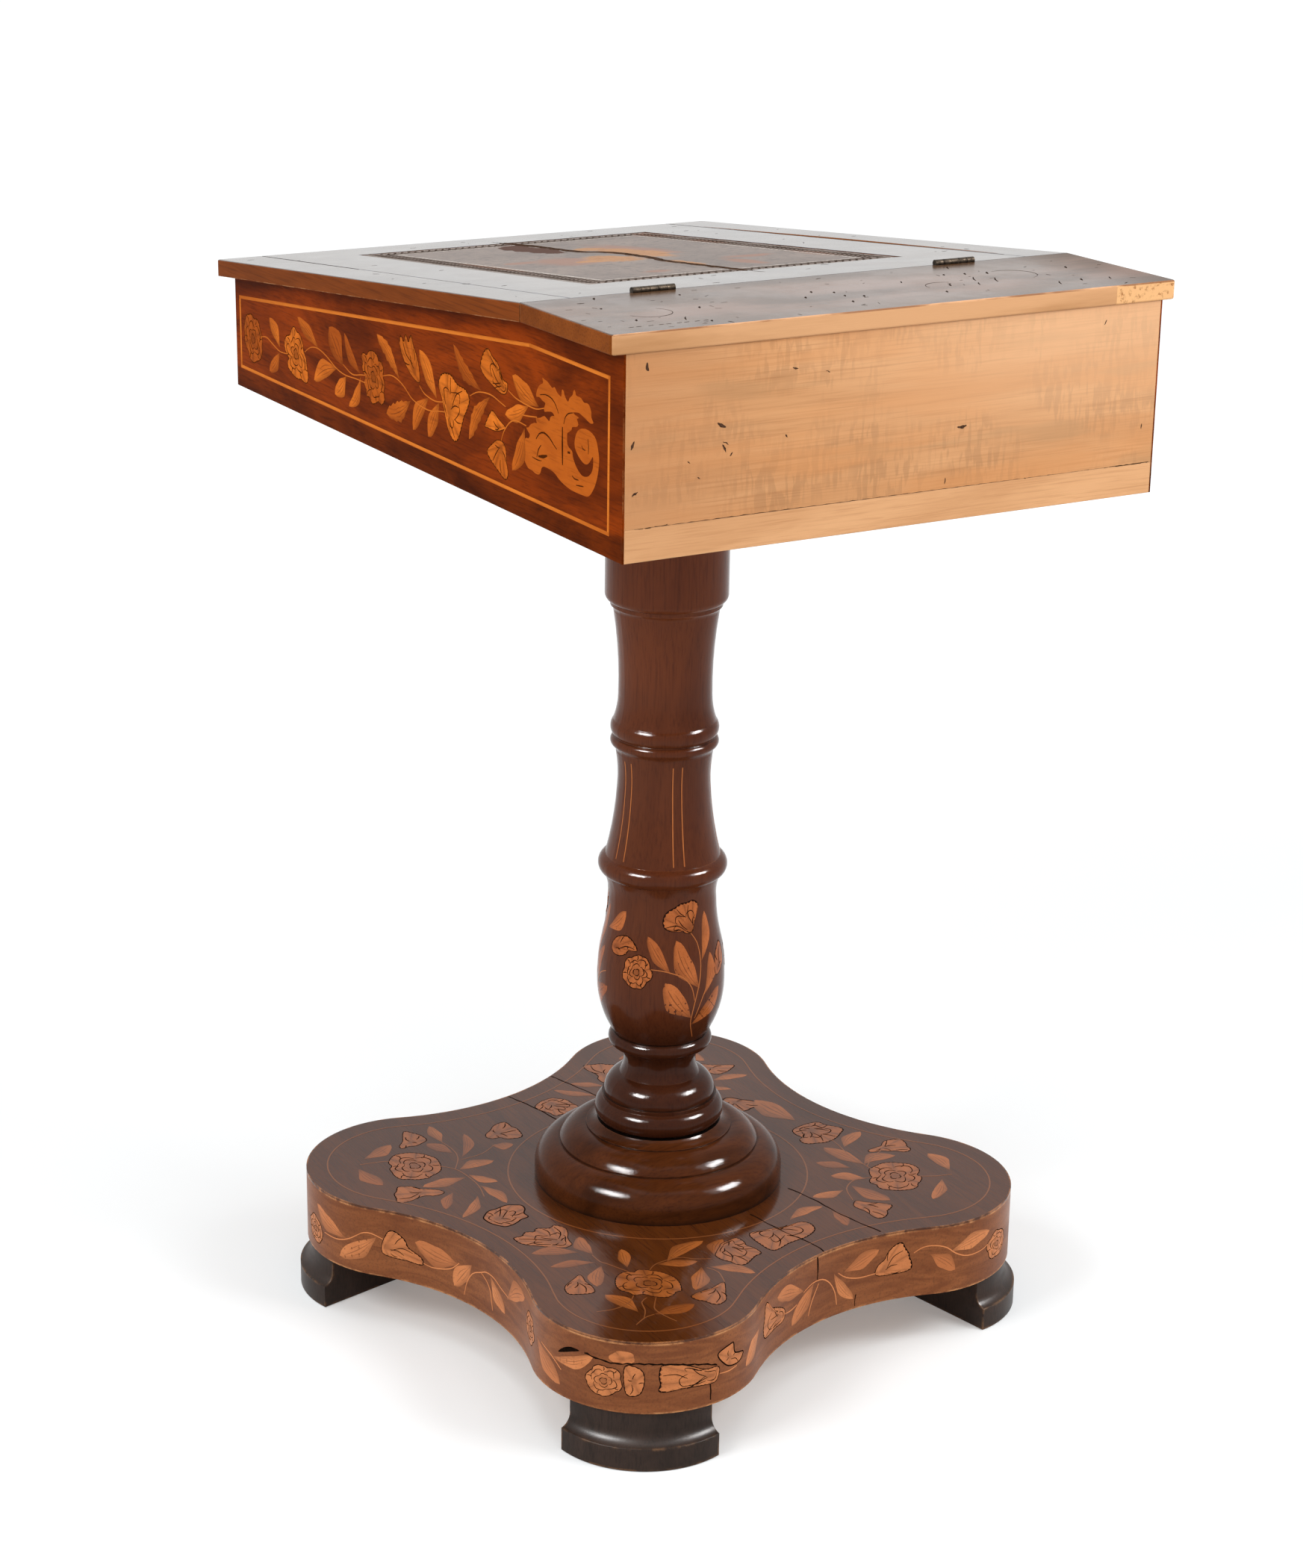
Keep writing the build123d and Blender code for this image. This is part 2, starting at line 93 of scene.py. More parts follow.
def own_place(tree):
    """A piece's own coordinates as one vector, and its X, Y and Z."""
    place = node(tree, "ShaderNodeTexCoord").outputs["Object"]
    return place, node(tree, "ShaderNodeSeparateXYZ", {"Vector": place}).outputs


def stretched(tree, grain, ratio, offset=0.0, turn=0.0):
    """A piece's own coordinates drawn out along the grain, which is 0, 1 or 2 for X, Y or Z."""
    scale = [1.0, 1.0, 1.0]
    scale[grain] = 1.0 / ratio
    return node(tree, "ShaderNodeMapping", {
        "Vector": own_place(tree)[0], "Scale": scale, "Location": (offset, offset * 0.7, offset * 1.3),
        "Rotation": (0.0, 0.0, turn),
    }).outputs["Vector"]


def worn_edges(tree, reach, place):
    """A mask of the arrises that hands and cloths have rubbed."""
    bevel = node(tree, "ShaderNodeBevel", {"Radius": reach}, samples=6).outputs["Normal"]
    flat = node(tree, "ShaderNodeNewGeometry").outputs["Normal"]
    dot = node(tree, "ShaderNodeVectorMath", {0: bevel, 1: flat}, operation="DOT_PRODUCT").outputs["Value"]
    patch = ramp(tree, noise(tree, place, 60.0, 5.0, 0.7), 0.42, 0.62)
    return times(tree, ramp(tree, dot, 0.998, 0.93), patch)


def new_finish(name):
    """A new material, its node tree and its shader."""
    material = bpy.data.materials.new(name)
    material.use_nodes = True
    return material, material.node_tree, material.node_tree.nodes["Principled BSDF"]


def wood(name, light, dark, streak, grain, roughness, figure, drawn, worn, shine, pores=0.5,
         wear_reach=0.0012, soft_edge=0.0006, turn=0.0):
    """Wood with figure, fine grain and pores along the given axis, and rubbed arrises."""
    material, tree, shader = new_finish(name)
    long_way = stretched(tree, grain, drawn, turn=turn)
    fibre_way = stretched(tree, grain, drawn * 5.0, turn=turn)
    blotch = noise(tree, long_way, figure * 0.35, 2.0, 0.5, 0.6)
    bands = noise(tree, long_way, figure, 4.0, 0.6, 1.2)
    fibres = noise(tree, fibre_way, 700.0, 3.0, 0.6)
    dashes = noise(tree, fibre_way, 1500.0, 2.0, 0.5)
    colour = tint(tree, ramp(tree, bands, 0.32, 0.68), light, dark)
    for layer, low, high, most, stain in ((blotch, 0.35, 0.75, 0.45, dark), (fibres, 0.45, 0.75, 0.5, streak),
                                          (dashes, 0.60, 0.70, pores, streak)):
        colour = tint(tree, ramp(tree, layer, low, high, 0.0, most), colour, stain)
    colour = tint(tree, worn_edges(tree, wear_reach, own_place(tree)[0]), colour, worn)
    tree.links.new(colour, shader.inputs["Base Color"])
    tree.links.new(ramp(tree, blotch, 0.3, 0.7, roughness - 0.04, roughness + 0.05),
                   shader.inputs["Roughness"])
    shader.inputs["Specular IOR Level"].default_value = shine
    soft = node(tree, "ShaderNodeBevel", {"Radius": soft_edge}, samples=4).outputs["Normal"]
    relief = node(tree, "ShaderNodeBump", {
        "Strength": 0.35, "Distance": 0.0002, "Height": dashes, "Normal": soft,
    })
    tree.links.new(relief.outputs["Normal"], shader.inputs["Normal"])
    return material


def metal(name, clean, stained, spread, gloss, *blotches):
    """Bare metal with dull stains in blotches, from the range of their spread, and the gloss of both."""
    material, tree, shader = new_finish(name)
    shader.inputs["Metallic"].default_value = 1.0
    stain = ramp(tree, noise(tree, own_place(tree)[0], *blotches), *spread)
    tree.links.new(tint(tree, stain, clean, stained), shader.inputs["Base Color"])
    tree.links.new(ramp(tree, stain, 0.0, 1.0, *gloss), shader.inputs["Roughness"])
    return material


def finish_nodes(material, names):
    """Gives CAD nodes a material."""
    for name in names:
        for slot in nodes[name].material_slots:
            slot.material = material


feet = ["foot_back_right", "foot_back_left", "foot_front_left", "foot_front_right"]
finish_nodes(wood("ebonised_wood", (0.046, 0.027, 0.020), (0.026, 0.016, 0.012), (0.010, 0.007, 0.006), 2,
                  0.34, figure=30.0, drawn=1.3, pores=0.15, worn=(0.17, 0.085, 0.040), wear_reach=0.003,
                  shine=0.11), feet)
finish_nodes(metal("screw_steel", (0.30, 0.29, 0.28), (0.14, 0.08, 0.05), (0.45, 0.65), (0.35, 0.7), 900.0,
                   4.0), ["foot_screws", "cleat_screws", "hinge_strip_screws", "hinge_lid_screws"])

# Platform
# Three softwood boards glued edge to edge and sawn to four lobes, covered with walnut veneer on the top and
# round the edge, the grain of the top along one axis. The marquetry is sawn from pale veneer piece by piece,
# shaded in hot sand and laid into the walnut.

platform_angle = math.radians(12.2)
pale = wood("pale_case_wood", (0.76, 0.41, 0.200), (0.64, 0.325, 0.150), (0.50, 0.235, 0.10), 0, 0.55,
            figure=22.0, drawn=7.0, pores=0.25, worn=(0.55, 0.30, 0.15), shine=0.06)
finish_nodes(pale, ["platform_board_left", "platform_board_middle", "platform_board_right",
                    "bottom_tenon_wedge"])
finish_nodes(wood("platform_top_walnut", (0.093, 0.025, 0.005), (0.060, 0.016, 0.0035), (0.030, 0.008, 0.003),
                  1, 0.09, figure=28.0, drawn=5.0, turn=platform_angle, worn=(0.45, 0.17, 0.055),
                  wear_reach=0.0020, shine=0.225), ["platform_top_veneer"])
finish_nodes(wood("platform_edge_walnut", (0.290, 0.096, 0.031), (0.175, 0.052, 0.017), (0.085, 0.030, 0.012),
                  2, 0.34, figure=17.0, drawn=0.2, pores=0.15, worn=(0.62, 0.28, 0.11), wear_reach=0.0026,
                  shine=0.12), ["platform_edge_veneer"])


def flowing(points, step, closed=False):
    """Points at even steps along a smooth line through the given ones."""
    ring = [Vector(point) for point in points]
    count = len(ring)
    line = []
    for index in range(count if closed else count - 1):
        near = []
        for at in range(index - 1, index + 3):
            near.append(ring[at % count] if closed else ring[min(max(at, 0), count - 1)])
        before, start, end, after = near
        parts = max(1, round((end - start).length / step))
        for part in range(parts):
            t = part / parts
            bow = (end - before) * t + (2 * before - 5 * start + 4 * end - after) * t * t
            line.append(start + 0.5 * (bow + (3 * start - before - 3 * end + after) * t ** 3))
    if not closed:
        line.append(ring[-1])
    return line


def new_sheet():
    """An empty sheet of sawn veneer pieces, drawn flat in millimetres."""
    return {"points": [], "lifts": [], "faces": [], "drawn": [], "tones": [], "kinds": [], "pieces": 0}


def add_piece(sheet, rows, drawn, level, tone, kind):
    """One veneer piece as rows of points, with the place of each in the piece's own drawing."""
    first = len(sheet["points"])
    wide = len(rows[0])
    lift = level + 0.0007 * (sheet["pieces"] % 40)
    sheet["pieces"] += 1
    for row in rows:
        sheet["points"].extend(tuple(point) for point in row)
        sheet["lifts"].extend([lift] * wide)
    cells = [(down, over) for down in range(len(rows) - 1) for over in range(wide - 1)]
    area = 0.0
    for down, over in cells:
        across = rows[down + 1][over + 1] - rows[down][over]
        area += across.cross(rows[down + 1][over] - rows[down][over + 1])
    for down, over in cells:
        corners = ((down, over), (down, over + 1), (down + 1, over + 1), (down + 1, over))
        corners = corners if area > 0.0 else corners[::-1]
        sheet["faces"].append([first + a * wide + b for a, b in corners])
        sheet["drawn"].append([drawn[a][b] for a, b in corners])
        sheet["kinds"].append(kind)
        sheet["tones"].append(tone)


LEAF, PETAL, LINE, GAP = range(4)


def lay_leaf(sheet, base_x, base_y, tip_x, tip_y, width, bend=None, teeth=0, tone=None):
    """A pointed leaf from its base to its tip."""
    base, tip = Vector((base_x, base_y)), Vector((tip_x, tip_y))
    along = tip - base
    aside = Vector((-along.y, along.x))
    chance_number = base_x * 0.37 + base_y * 0.73
    bend = 0.09 * math.sin(chance_number) if bend is None else bend
    tone = 0.5 + 0.42 * math.sin(chance_number * 1.7) if tone is None else tone
    steps = max(12, teeth * 3)
    ribs = (-1.0, -0.6, -0.25, 0.0, 0.25, 0.6, 1.0)
    rows, drawn = [], []
    for step in range(steps + 1):
        u = step / steps
        middle_line = base + along * u + aside * (bend * 4.0 * u * (1.0 - u))
        half = 0.53 * width * math.sin(math.pi * min(1.0, u ** 0.95)) ** 0.62 * min(1.0, 0.25 + 1.6 * u)
        if teeth:
            half *= 1.0 - 0.30 * (u * teeth % 1.0)
        if step in (0, steps):
            half = 0.0
        reach = aside.normalized() * half
        row = []
        for v in ribs:
            wave = 1.0 + 0.10 * math.sin(9.0 * u + chance_number + 2.0 * v)
            wave += 0.14 * v * math.sin(chance_number * 2.1)
            row.append(middle_line + reach * v * wave)
        rows.append(row)
        drawn.append([(u, 0.5 + 0.5 * v) for v in ribs])
    add_piece(sheet, rows, drawn, 0.05, tone, LEAF)


def lay_petals(sheet, outline, heart, petals, tone=0.5, level=0.05, fringe=0.0, kind=PETAL):
    """A flower or a free piece with the given outline, whose petals run out from its heart."""
    line = flowing(outline, 1.6, closed=True)
    heart = Vector(heart)
    line.append(line[0].copy())
    count = len(line) - 1
    steps = max(3, round(max((point - heart).length for point in line) / 3.0))
    rows, drawn = [], []
    for ring in [step / steps for step in range(steps + 1)]:
        row = []
        for index, point in enumerate(line):
            rim = 1.0 - (fringe * (index % 2) if ring == 1.0 and index < count else 0.0)
            row.append(heart + (point - heart) * ring * rim)
        rows.append(row)
        drawn.append([(ring, index / count * petals) for index in range(count + 1)])
    add_piece(sheet, rows, drawn, level, tone, kind)


def lay_line(sheet, points, width, level=0.075, tone=0.6, kind=LINE, step=3.0, taper=0.0, closed=False,
             ragged=0.0):
    """A stem, a line of stringing or a crack along a smooth line."""
    line = flowing(points, step, closed)
    if closed:
        line.append(line[0].copy())
    last = len(line) - 1
    rows, drawn = [], []
    for index, point in enumerate(line):
        ahead = line[(index + 1) % last if closed else min(index + 1, last)]
        behind = line[index - 1 if index else (last - 1 if closed else 0)]
        run = (ahead - behind).normalized()
        aside = Vector((-run.y, run.x))
        u = index / last
        half = 0.5 * width * (1.0 - taper * abs(2.0 * u - 1.0))
        shift = ragged * math.sin(index * 7.3 + point.x)
        half *= 1.0 + ragged * math.sin(index * 3.9 + point.y)
        rows.append([point + aside * (shift + half * v) for v in (-1.0, 1.0)])
        drawn.append([(u, 0.0), (u, 1.0)])
    add_piece(sheet, rows, drawn, level, tone, kind)


def round_flower(centre_x, centre_y, width, height, lobes=6):
    """The outline of a full-blown flower seen from the front, in uneven lobes."""
    turn = 0.3
    outline = []
    for step in range(lobes * 6):
        angle = step * math.tau / (lobes * 6)
        lobe = abs(math.sin(lobes * angle / 2.0)) ** 0.7
        reach = 0.86 + 0.09 * lobe + 0.05 * math.sin(2.0 * angle + centre_x)
        reach += 0.04 * math.sin(5.0 * angle + centre_y)
        outline.append((centre_x + 0.5 * width * reach * math.cos(angle + turn),
                        centre_y + 0.5 * height * reach * math.sin(angle + turn)))
    return outline


def outlined(sheet, outline, heart, petals, tone, fringe):
    """A flower's piece with the dark glue line round it. Gives back its rim and its heart."""
    lay_line(sheet, outline, 1.0, level=0.04, kind=GAP, step=1.6, closed=True)
    lay_petals(sheet, outline, heart, petals, tone, fringe=fringe)
    return flowing(outline, 1.6, closed=True), Vector(heart)


def saw_folds(sheet, line, heart, rings, cut):
    """Broken lines sawn round the heart of a flower, at parts of the way out to its outline."""
    for ring, folds, swing in rings:
        for fold in range(folds):
            curl = []
            for step in range(7):
                round_part = (swing + (fold + 0.92 * step / 6.0) / folds) % 1.0
                rim = line[int(round_part * len(line)) % len(line)]
                bulge = 0.84 + 0.26 * math.sin(math.pi * step / 6.0)
                swell = 1.0 + 0.10 * math.sin(fold * 1.9 + heart.x)
                curl.append(heart + (rim - heart) * (ring * bulge * swell))
            lay_line(sheet, curl, cut, level=0.12, kind=GAP, taper=0.6, step=1.2)


def lay_rose(sheet, outline, centre, petals=6, tone=0.6, cut=0.6):
    """A full-blown flower in one piece, with the folds of its petals sawn into it."""
    line, heart = outlined(sheet, outline, centre, petals, tone, 0.02)
    saw_folds(sheet, line, heart, ((0.70, petals - 1, 0.04), (0.44, 4, 0.13), (0.20, 3, 0.3)), cut)
    for petal in range(petals):
        rim = line[int((petal + 0.4) / petals * len(line)) % len(line)] - heart
        aside = Vector((-rim.y, rim.x)) * 0.05
        fold = [heart + rim * 0.70 + aside, heart + rim * 0.82, heart + rim * 0.96 + aside]
        lay_line(sheet, fold, cut, level=0.12, kind=GAP, taper=0.5, step=1.2)


def lay_bloom(sheet, outline, centre, petals, tone=0.6, cut=0.6, fringe=0.03):
    """A flower of any outline in one piece, with the lines between its petals sawn from its heart."""
    line, heart = outlined(sheet, outline, centre, petals, tone, fringe)
    reach_far = max((point - heart).length for point in line)
    for petal in range(petals):
        reach = line[int((petal + 0.5) / petals * len(line)) % len(line)] - heart
        if reach.length < 0.35 * reach_far:
            continue
        aside = Vector((-reach.y, reach.x)).normalized()
        bow = 0.4 + 0.05 * reach.length
        near, far = ((0.16, 0.56), (0.50, 0.94), (0.22, 0.9))[petal % 3]
        stroke = [heart + reach * t + aside * (bow * math.sin(t * 7.0 + petal * 1.7))
                  for t in (near, (near + far) / 2, far)]
        lay_line(sheet, stroke, cut, level=0.12, kind=GAP, taper=0.5, step=1.2)
    if petals > 6:
        saw_folds(sheet, line, heart, ((0.60, petals // 2 + 1, 0.0),), cut)


def inlay_wood(name, light, dark, scorched, roughness, shine, veins, petals=False):
    """Fine pale veneer whose pieces are shaded in hot sand and cut with veins or petal lines."""
    material, tree, shader = new_finish(name)
    drawing = node(tree, "ShaderNodeUVMap", uv_map="drawn").outputs["UV"]
    place = node(tree, "ShaderNodeSeparateXYZ", {"Vector": drawing})
    along, over = place.outputs["X"], place.outputs["Y"]
    fibres = noise(tree, stretched(tree, 1, 14.0), 800.0, 3.0, 0.6)
    patches = noise(tree, stretched(tree, 1, 2.0), 90.0, 3.0, 0.6)
    tone = node(tree, "ShaderNodeAttribute", attribute_name="tone").outputs["Fac"]
    colour = tint(tree, tone, dark, light)
    colour = tint(tree, ramp(tree, patches, 0.35, 0.7, 0.0, 0.45), colour, dark)
    colour = tint(tree, ramp(tree, fibres, 0.5, 0.8, 0.0, 0.4), colour, scorched)
    across = arithmetic(tree, "FRACT", over) if petals else over
    edge = arithmetic(tree, "ABSOLUTE", arithmetic(tree, "SUBTRACT", across, 0.5))
    if petals:
        lines = times(tree, ramp(tree, edge, 0.46, 0.49), ramp(tree, along, 0.45, 0.7))
        shades = ramp(tree, along, 0.55, 0.05, 0.0, 0.5), ramp(tree, edge, 0.2, 0.5, 0.0, 0.3)
    else:
        rib = times(tree, ramp(tree, edge, 0.035, 0.015), ramp(tree, along, 0.9, 0.8))
        beside = arithmetic(tree, "ABSOLUTE", arithmetic(tree, "SUBTRACT", edge, 0.20))
        length = times(tree, ramp(tree, along, 0.18, 0.3), ramp(tree, along, 0.72, 0.6, 0.0, 0.8))
        lines = arithmetic(tree, "MAXIMUM", rib, times(tree, ramp(tree, beside, 0.03, 0.012), length))
        shades = ramp(tree, along, 0.30, 0.0, 0.0, 0.55), ramp(tree, over, 0.50, 1.0, 0.0, 0.42)
    colour = tint(tree, arithmetic(tree, "MAXIMUM", *shades), colour, scorched)
    colour = tint(tree, times(tree, lines, veins), colour, scorched)
    tree.links.new(colour, shader.inputs["Base Color"])
    shader.inputs["Roughness"].default_value = roughness
    shader.inputs["Specular IOR Level"].default_value = shine
    relief = node(tree, "ShaderNodeBump", {"Strength": 0.3, "Distance": 0.0001, "Height": fibres})
    tree.links.new(relief.outputs["Normal"], shader.inputs["Normal"])
    return material


def inlay_finishes(leaves, petals, lines, light, dark, scorched, line_light, line_dark, roughness, shine):
    """The three finishes of one drawing: its leaves, its petals and its stems and stringing."""
    return [inlay_wood(leaves, light, dark, scorched, roughness, shine, 0.6),
            inlay_wood(petals, light, dark, scorched, roughness, shine, 0.4, petals=True),
            inlay_wood(lines, line_light, line_dark, dark, roughness, shine, 0.0)]


def open_gap(name, colour):
    """The dull dirty wood inside a crack or a lost piece of veneer."""
    material, tree, shader = new_finish(name)
    dirt = ramp(tree, noise(tree, own_place(tree)[0], 700.0, 4.0), 0.35, 0.7)
    darker = tuple(part * 0.45 for part in colour)
    tree.links.new(tint(tree, dirt, colour, darker), shader.inputs["Base Color"])
    shader.inputs["Roughness"].default_value = 0.9
    shader.inputs["Specular IOR Level"].default_value = 0.0
    return material


def set_down(name, mesh):
    """A new object with the given mesh, selected alone."""
    piece = bpy.data.objects.new(name, mesh)
    bpy.context.scene.collection.objects.link(piece)
    bpy.ops.object.select_all(action="DESELECT")
    piece.select_set(True)
    bpy.context.view_layer.objects.active = piece
    return piece


def thickened(piece, thickness, smooth_to):
    """Gives a sheet its wall below its face, and smooths what turns by less than an angle."""
    bpy.ops.object.modifier_add(type="SOLIDIFY")
    piece.modifiers["Solidify"].thickness = thickness
    piece.modifiers["Solidify"].offset = -1.0
    bpy.ops.object.modifier_apply(modifier="Solidify")
    bpy.ops.object.shade_smooth_by_angle(angle=math.radians(smooth_to))


mm = 0.001


def set_in(name, sheet, place, ground, finishes, body="table"):
    """Lays a sheet's pieces on a CAD surface, pressed against it, each a closed sliver of veneer."""
    spots = [place(*point) for point in sheet["points"]]
    x, y = sheet["points"][0]
    step_x, step_y = place(x + 0.1, y)[0] - spots[0][0], place(x, y + 0.1)[0] - spots[0][0]
    handed = step_x.cross(step_y).dot(spots[0][1]) > 0.0
    faces = [face if handed else face[::-1] for face in sheet["faces"]]
    drawn = [corner for corners in sheet["drawn"] for corner in (corners if handed else corners[::-1])]
    mesh = bpy.data.meshes.new(name)
    mesh.from_pydata([spot[0] for spot in spots], [], faces)
    for loop, corner in zip(mesh.uv_layers.new(name="drawn").data, drawn):
        loop.uv = corner
    mesh.attributes.new("tone", "FLOAT", "FACE").data.foreach_set("value", sheet["tones"])
    for finish in finishes:
        mesh.materials.append(finish)
    mesh.polygons.foreach_set("material_index", [min(kind, len(finishes) - 1) for kind in sheet["kinds"]])
    piece = set_down(name, mesh)
    if ground:
        bpy.ops.object.modifier_add(type="SHRINKWRAP")
        piece.modifiers["Shrinkwrap"].target = nodes[ground]
        bpy.ops.object.modifier_apply(modifier="Shrinkwrap")
    for vertex, spot, lift in zip(piece.data.vertices, spots, sheet["lifts"]):
        vertex.co += spot[1] * (lift * mm)
    bpy.ops.object.mode_set(mode="EDIT")
    bpy.ops.mesh.select_all(action="SELECT")
    bpy.ops.mesh.remove_doubles(threshold=0.000002)
    bpy.ops.object.mode_set(mode="OBJECT")
    thickened(piece, 0.0003, 25.0)
    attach(piece, body)


platform_spin = Matrix.Rotation(platform_angle, 3, "Z")
platform_middle = Vector((0.0, 0.010, 0.0))
platform_top = 0.0935
lobe_distance, lobe_radius, lobe_tip = 127.0, 79.4, math.radians(45.0)
hollow_distance, hollow_radius, hollow_end = 344.23, 172.23, math.radians(300.31)
lobe_arc = lobe_radius * math.radians(75.31)
quarter = 390.96
flat_up = Vector((0.0, 0.0, 1.0))


def on_platform(x, y):
    """A place on the platform's top, from its own axes in millimetres."""
    spot = platform_spin @ Vector((x * mm, y * mm, 0.0)) + platform_middle
    return Vector((spot.x, spot.y, platform_top)), flat_up


def round_the_edge(run, inset=0.0):
    """The outline's place at a run in millimetres from the tip of the near lobe, and the way out from it."""
    lobe = round(run / quarter)
    local = run - lobe * quarter
    if abs(local) <= lobe_arc:
        angle = lobe_tip + abs(local) / lobe_radius
        out = Vector((math.cos(angle), math.sin(angle)))
        spot = Vector((lobe_distance, lobe_distance)) + out * (lobe_radius - inset)
    else:
        angle = hollow_end - (abs(local) - lobe_arc) / hollow_radius
        out = -Vector((math.cos(angle), math.sin(angle)))
        spot = Vector((0.0, hollow_distance)) - out * (hollow_radius + inset)
    if local < 0.0:
        spot, out = spot.yx, out.yx
    turned = Matrix.Rotation(lobe * math.pi / 2.0, 2)
    return turned @ spot, turned @ out


def on_edge(run, height):
    """A place on the platform's edge."""
    spot, out = round_the_edge(run)
    place = platform_spin @ Vector((spot.x * mm, spot.y * mm, 0.0)) + platform_middle
    return Vector((place.x, place.y, height * mm)), platform_spin @ out.to_3d()


top_light, top_dark = (0.39, 0.118, 0.026), (0.215, 0.058, 0.012)
dark_gap = open_gap("veneer_gap", (0.012, 0.006, 0.004))
top_finishes = inlay_finishes("platform_top_leaves", "platform_top_petals", "platform_top_stringing",
                              top_light, top_dark, (0.035, 0.012, 0.006), top_light, (0.16, 0.055, 0.018),
                              0.10, 0.225)

near_lobe_leaves = [
    (150, 160.6, 120, 168, 12), (156, 151, 157, 118.5, 12), (100, 108.75, 76, 124, 10),
    (92.5, 110.6, 52, 104, 12), (80, 132, 105.6, 153.75, 12), (75.6, 135.6, 57.5, 162.5, 11),
    (61, 126, 40, 111, 10), (118.75, 98.75, 104, 76, 9), (131, 85.6, 153, 106, 11),
    (130.6, 79, 158.75, 63.75, 9), (130, 60, 155.6, 40, 12), (123.75, 68.75, 114, 42.5, 11),
    (-50, 130, -42, 154, 9), (-17, 121, -50, 121, 9, 0.1, 0, 0.95),
]
near_lobe_stems = [
    [(150, 160.6), (158, 160), (169, 163.5)],
    [(133, 143.7), (140, 150), (145, 156), (146, 167.5), (145, 177.5)],
    [(138, 140), (145, 142.5), (151, 152.5), (158.75, 160)],
    [(143, 132), (152.5, 137.5), (166, 137.5), (177, 132.5)], [(77.5, 135), (76, 145), (82.5, 158)],
    [(66, 127.5), (75, 120), (82.5, 111), (100, 108), (110, 112)],
    [(122.5, 104), (126, 85), (127.5, 80), (125, 69)],
]
near_rose = [
    (104.4, 127.5), (105, 133.75), (107.5, 140), (110.6, 144.4), (113.75, 148.1), (117.5, 146.9),
    (121.25, 148.75), (126.25, 148.75), (130, 146.25), (133.75, 141.25), (136.25, 135), (141.9, 131.9),
    (142.5, 126.25), (144.4, 121.25), (143.1, 115), (138.75, 108.75), (132.5, 103.75), (126.25, 102.5),
    (121.9, 105), (120, 107.5), (116.25, 106.25), (112.5, 108.75), (109.4, 113.75), (106.25, 118.75),
]
near_lobe_flowers = [
    ([(83.75, 158.1), (88, 164.4), (93.75, 170.6), (100, 177.5), (107.5, 178.75), (110.6, 175),
      (111.9, 168.75), (114.4, 165), (114.4, 158.75), (110, 157.5), (105, 158.1), (100, 160), (92.5, 158.75)],
      (90, 161), 6),
    ([(33.75, 143.75), (40, 144.4), (45, 146.25), (50, 148.1), (55, 148.75), (58.75, 145), (58.75, 140),
      (61.25, 133.75), (60.6, 126.25), (56.25, 122.5), (50, 118.75), (45, 115.6), (37.5, 115.6),
      (31.25, 116.25), (31.25, 123.75), (33.75, 128.75), (32.5, 135)], (46, 121), 9),
    ([(151.25, 85.6), (151.9, 90), (154.4, 95), (155.6, 102.5), (158.75, 110), (162.5, 110.6),
      (168.75, 106.9), (174.4, 101.9), (173.1, 96.25), (169.4, 91.9), (163.75, 89.4), (157.5, 87.5)],
      (156, 91), 6),
    ([(112.5, 26.25), (116.9, 33.75), (120.6, 37.5), (123.75, 43.75), (125, 47.5), (130, 48.75),
      (133.75, 46.9), (136.25, 43.75), (140, 40), (145, 33.75), (149, 28.75), (151.5, 22), (149.9, 14),
      (144, 15.5), (138, 12.6), (133, 16), (128.3, 13.3), (121, 18.8), (115.8, 17.4), (113.5, 21)], (129, 41),
      9),
    ([(-24, 134), (-20, 143), (-8, 147), (8, 146), (24, 147), (25, 135), (20, 118), (6, 121), (-10, 127),
      (-20, 128)], (2, 126), 7),
]
left_lobe_leaves = [
    (115, -66, 118, -31.5, 9), (127, -54, 157, -34, 8), (136.7, -70, 157.5, -52, 8),
    (110, -85, 101, -62.4, 9), (114, -83, 148, -91, 12), (110, -95.7, 81, -91, 12),
    (165, -145, 168, -112, 12), (152, -155.4, 122, -162, 12), (96, -121, 100.5, -146, 11),
    (90, -140, 80, -168.6, 9), (95, -111, 68.6, -141, 8), (66, -112, 52, -103, 11),
]
left_lobe_stems = [
    [(132, -132), (142, -142), (160, -150)], [(122, -118), (112, -100), (112, -84), (116, -66), (124, -50)],
    [(112, -98), (98, -112), (92, -126), (90, -142)], [(98, -108), (80, -106), (62, -112)],
]
left_rose = [
    (112.4, -117.2), (115.8, -110.3), (120, -104.7), (125.6, -101.9), (131.1, -101.3), (135.3, -99.9),
    (139.4, -101.3), (143.6, -103.3), (147.8, -107.5), (151.9, -111.7), (151.9, -118.6), (149.9, -124.2),
    (147.8, -129.7), (143.6, -132.5), (142.2, -138.1), (138.1, -142.2), (131.1, -145.7), (124.2, -144.3),
    (118.6, -140.8), (114.4, -135.3), (112.4, -129.7), (111, -122.8),
]
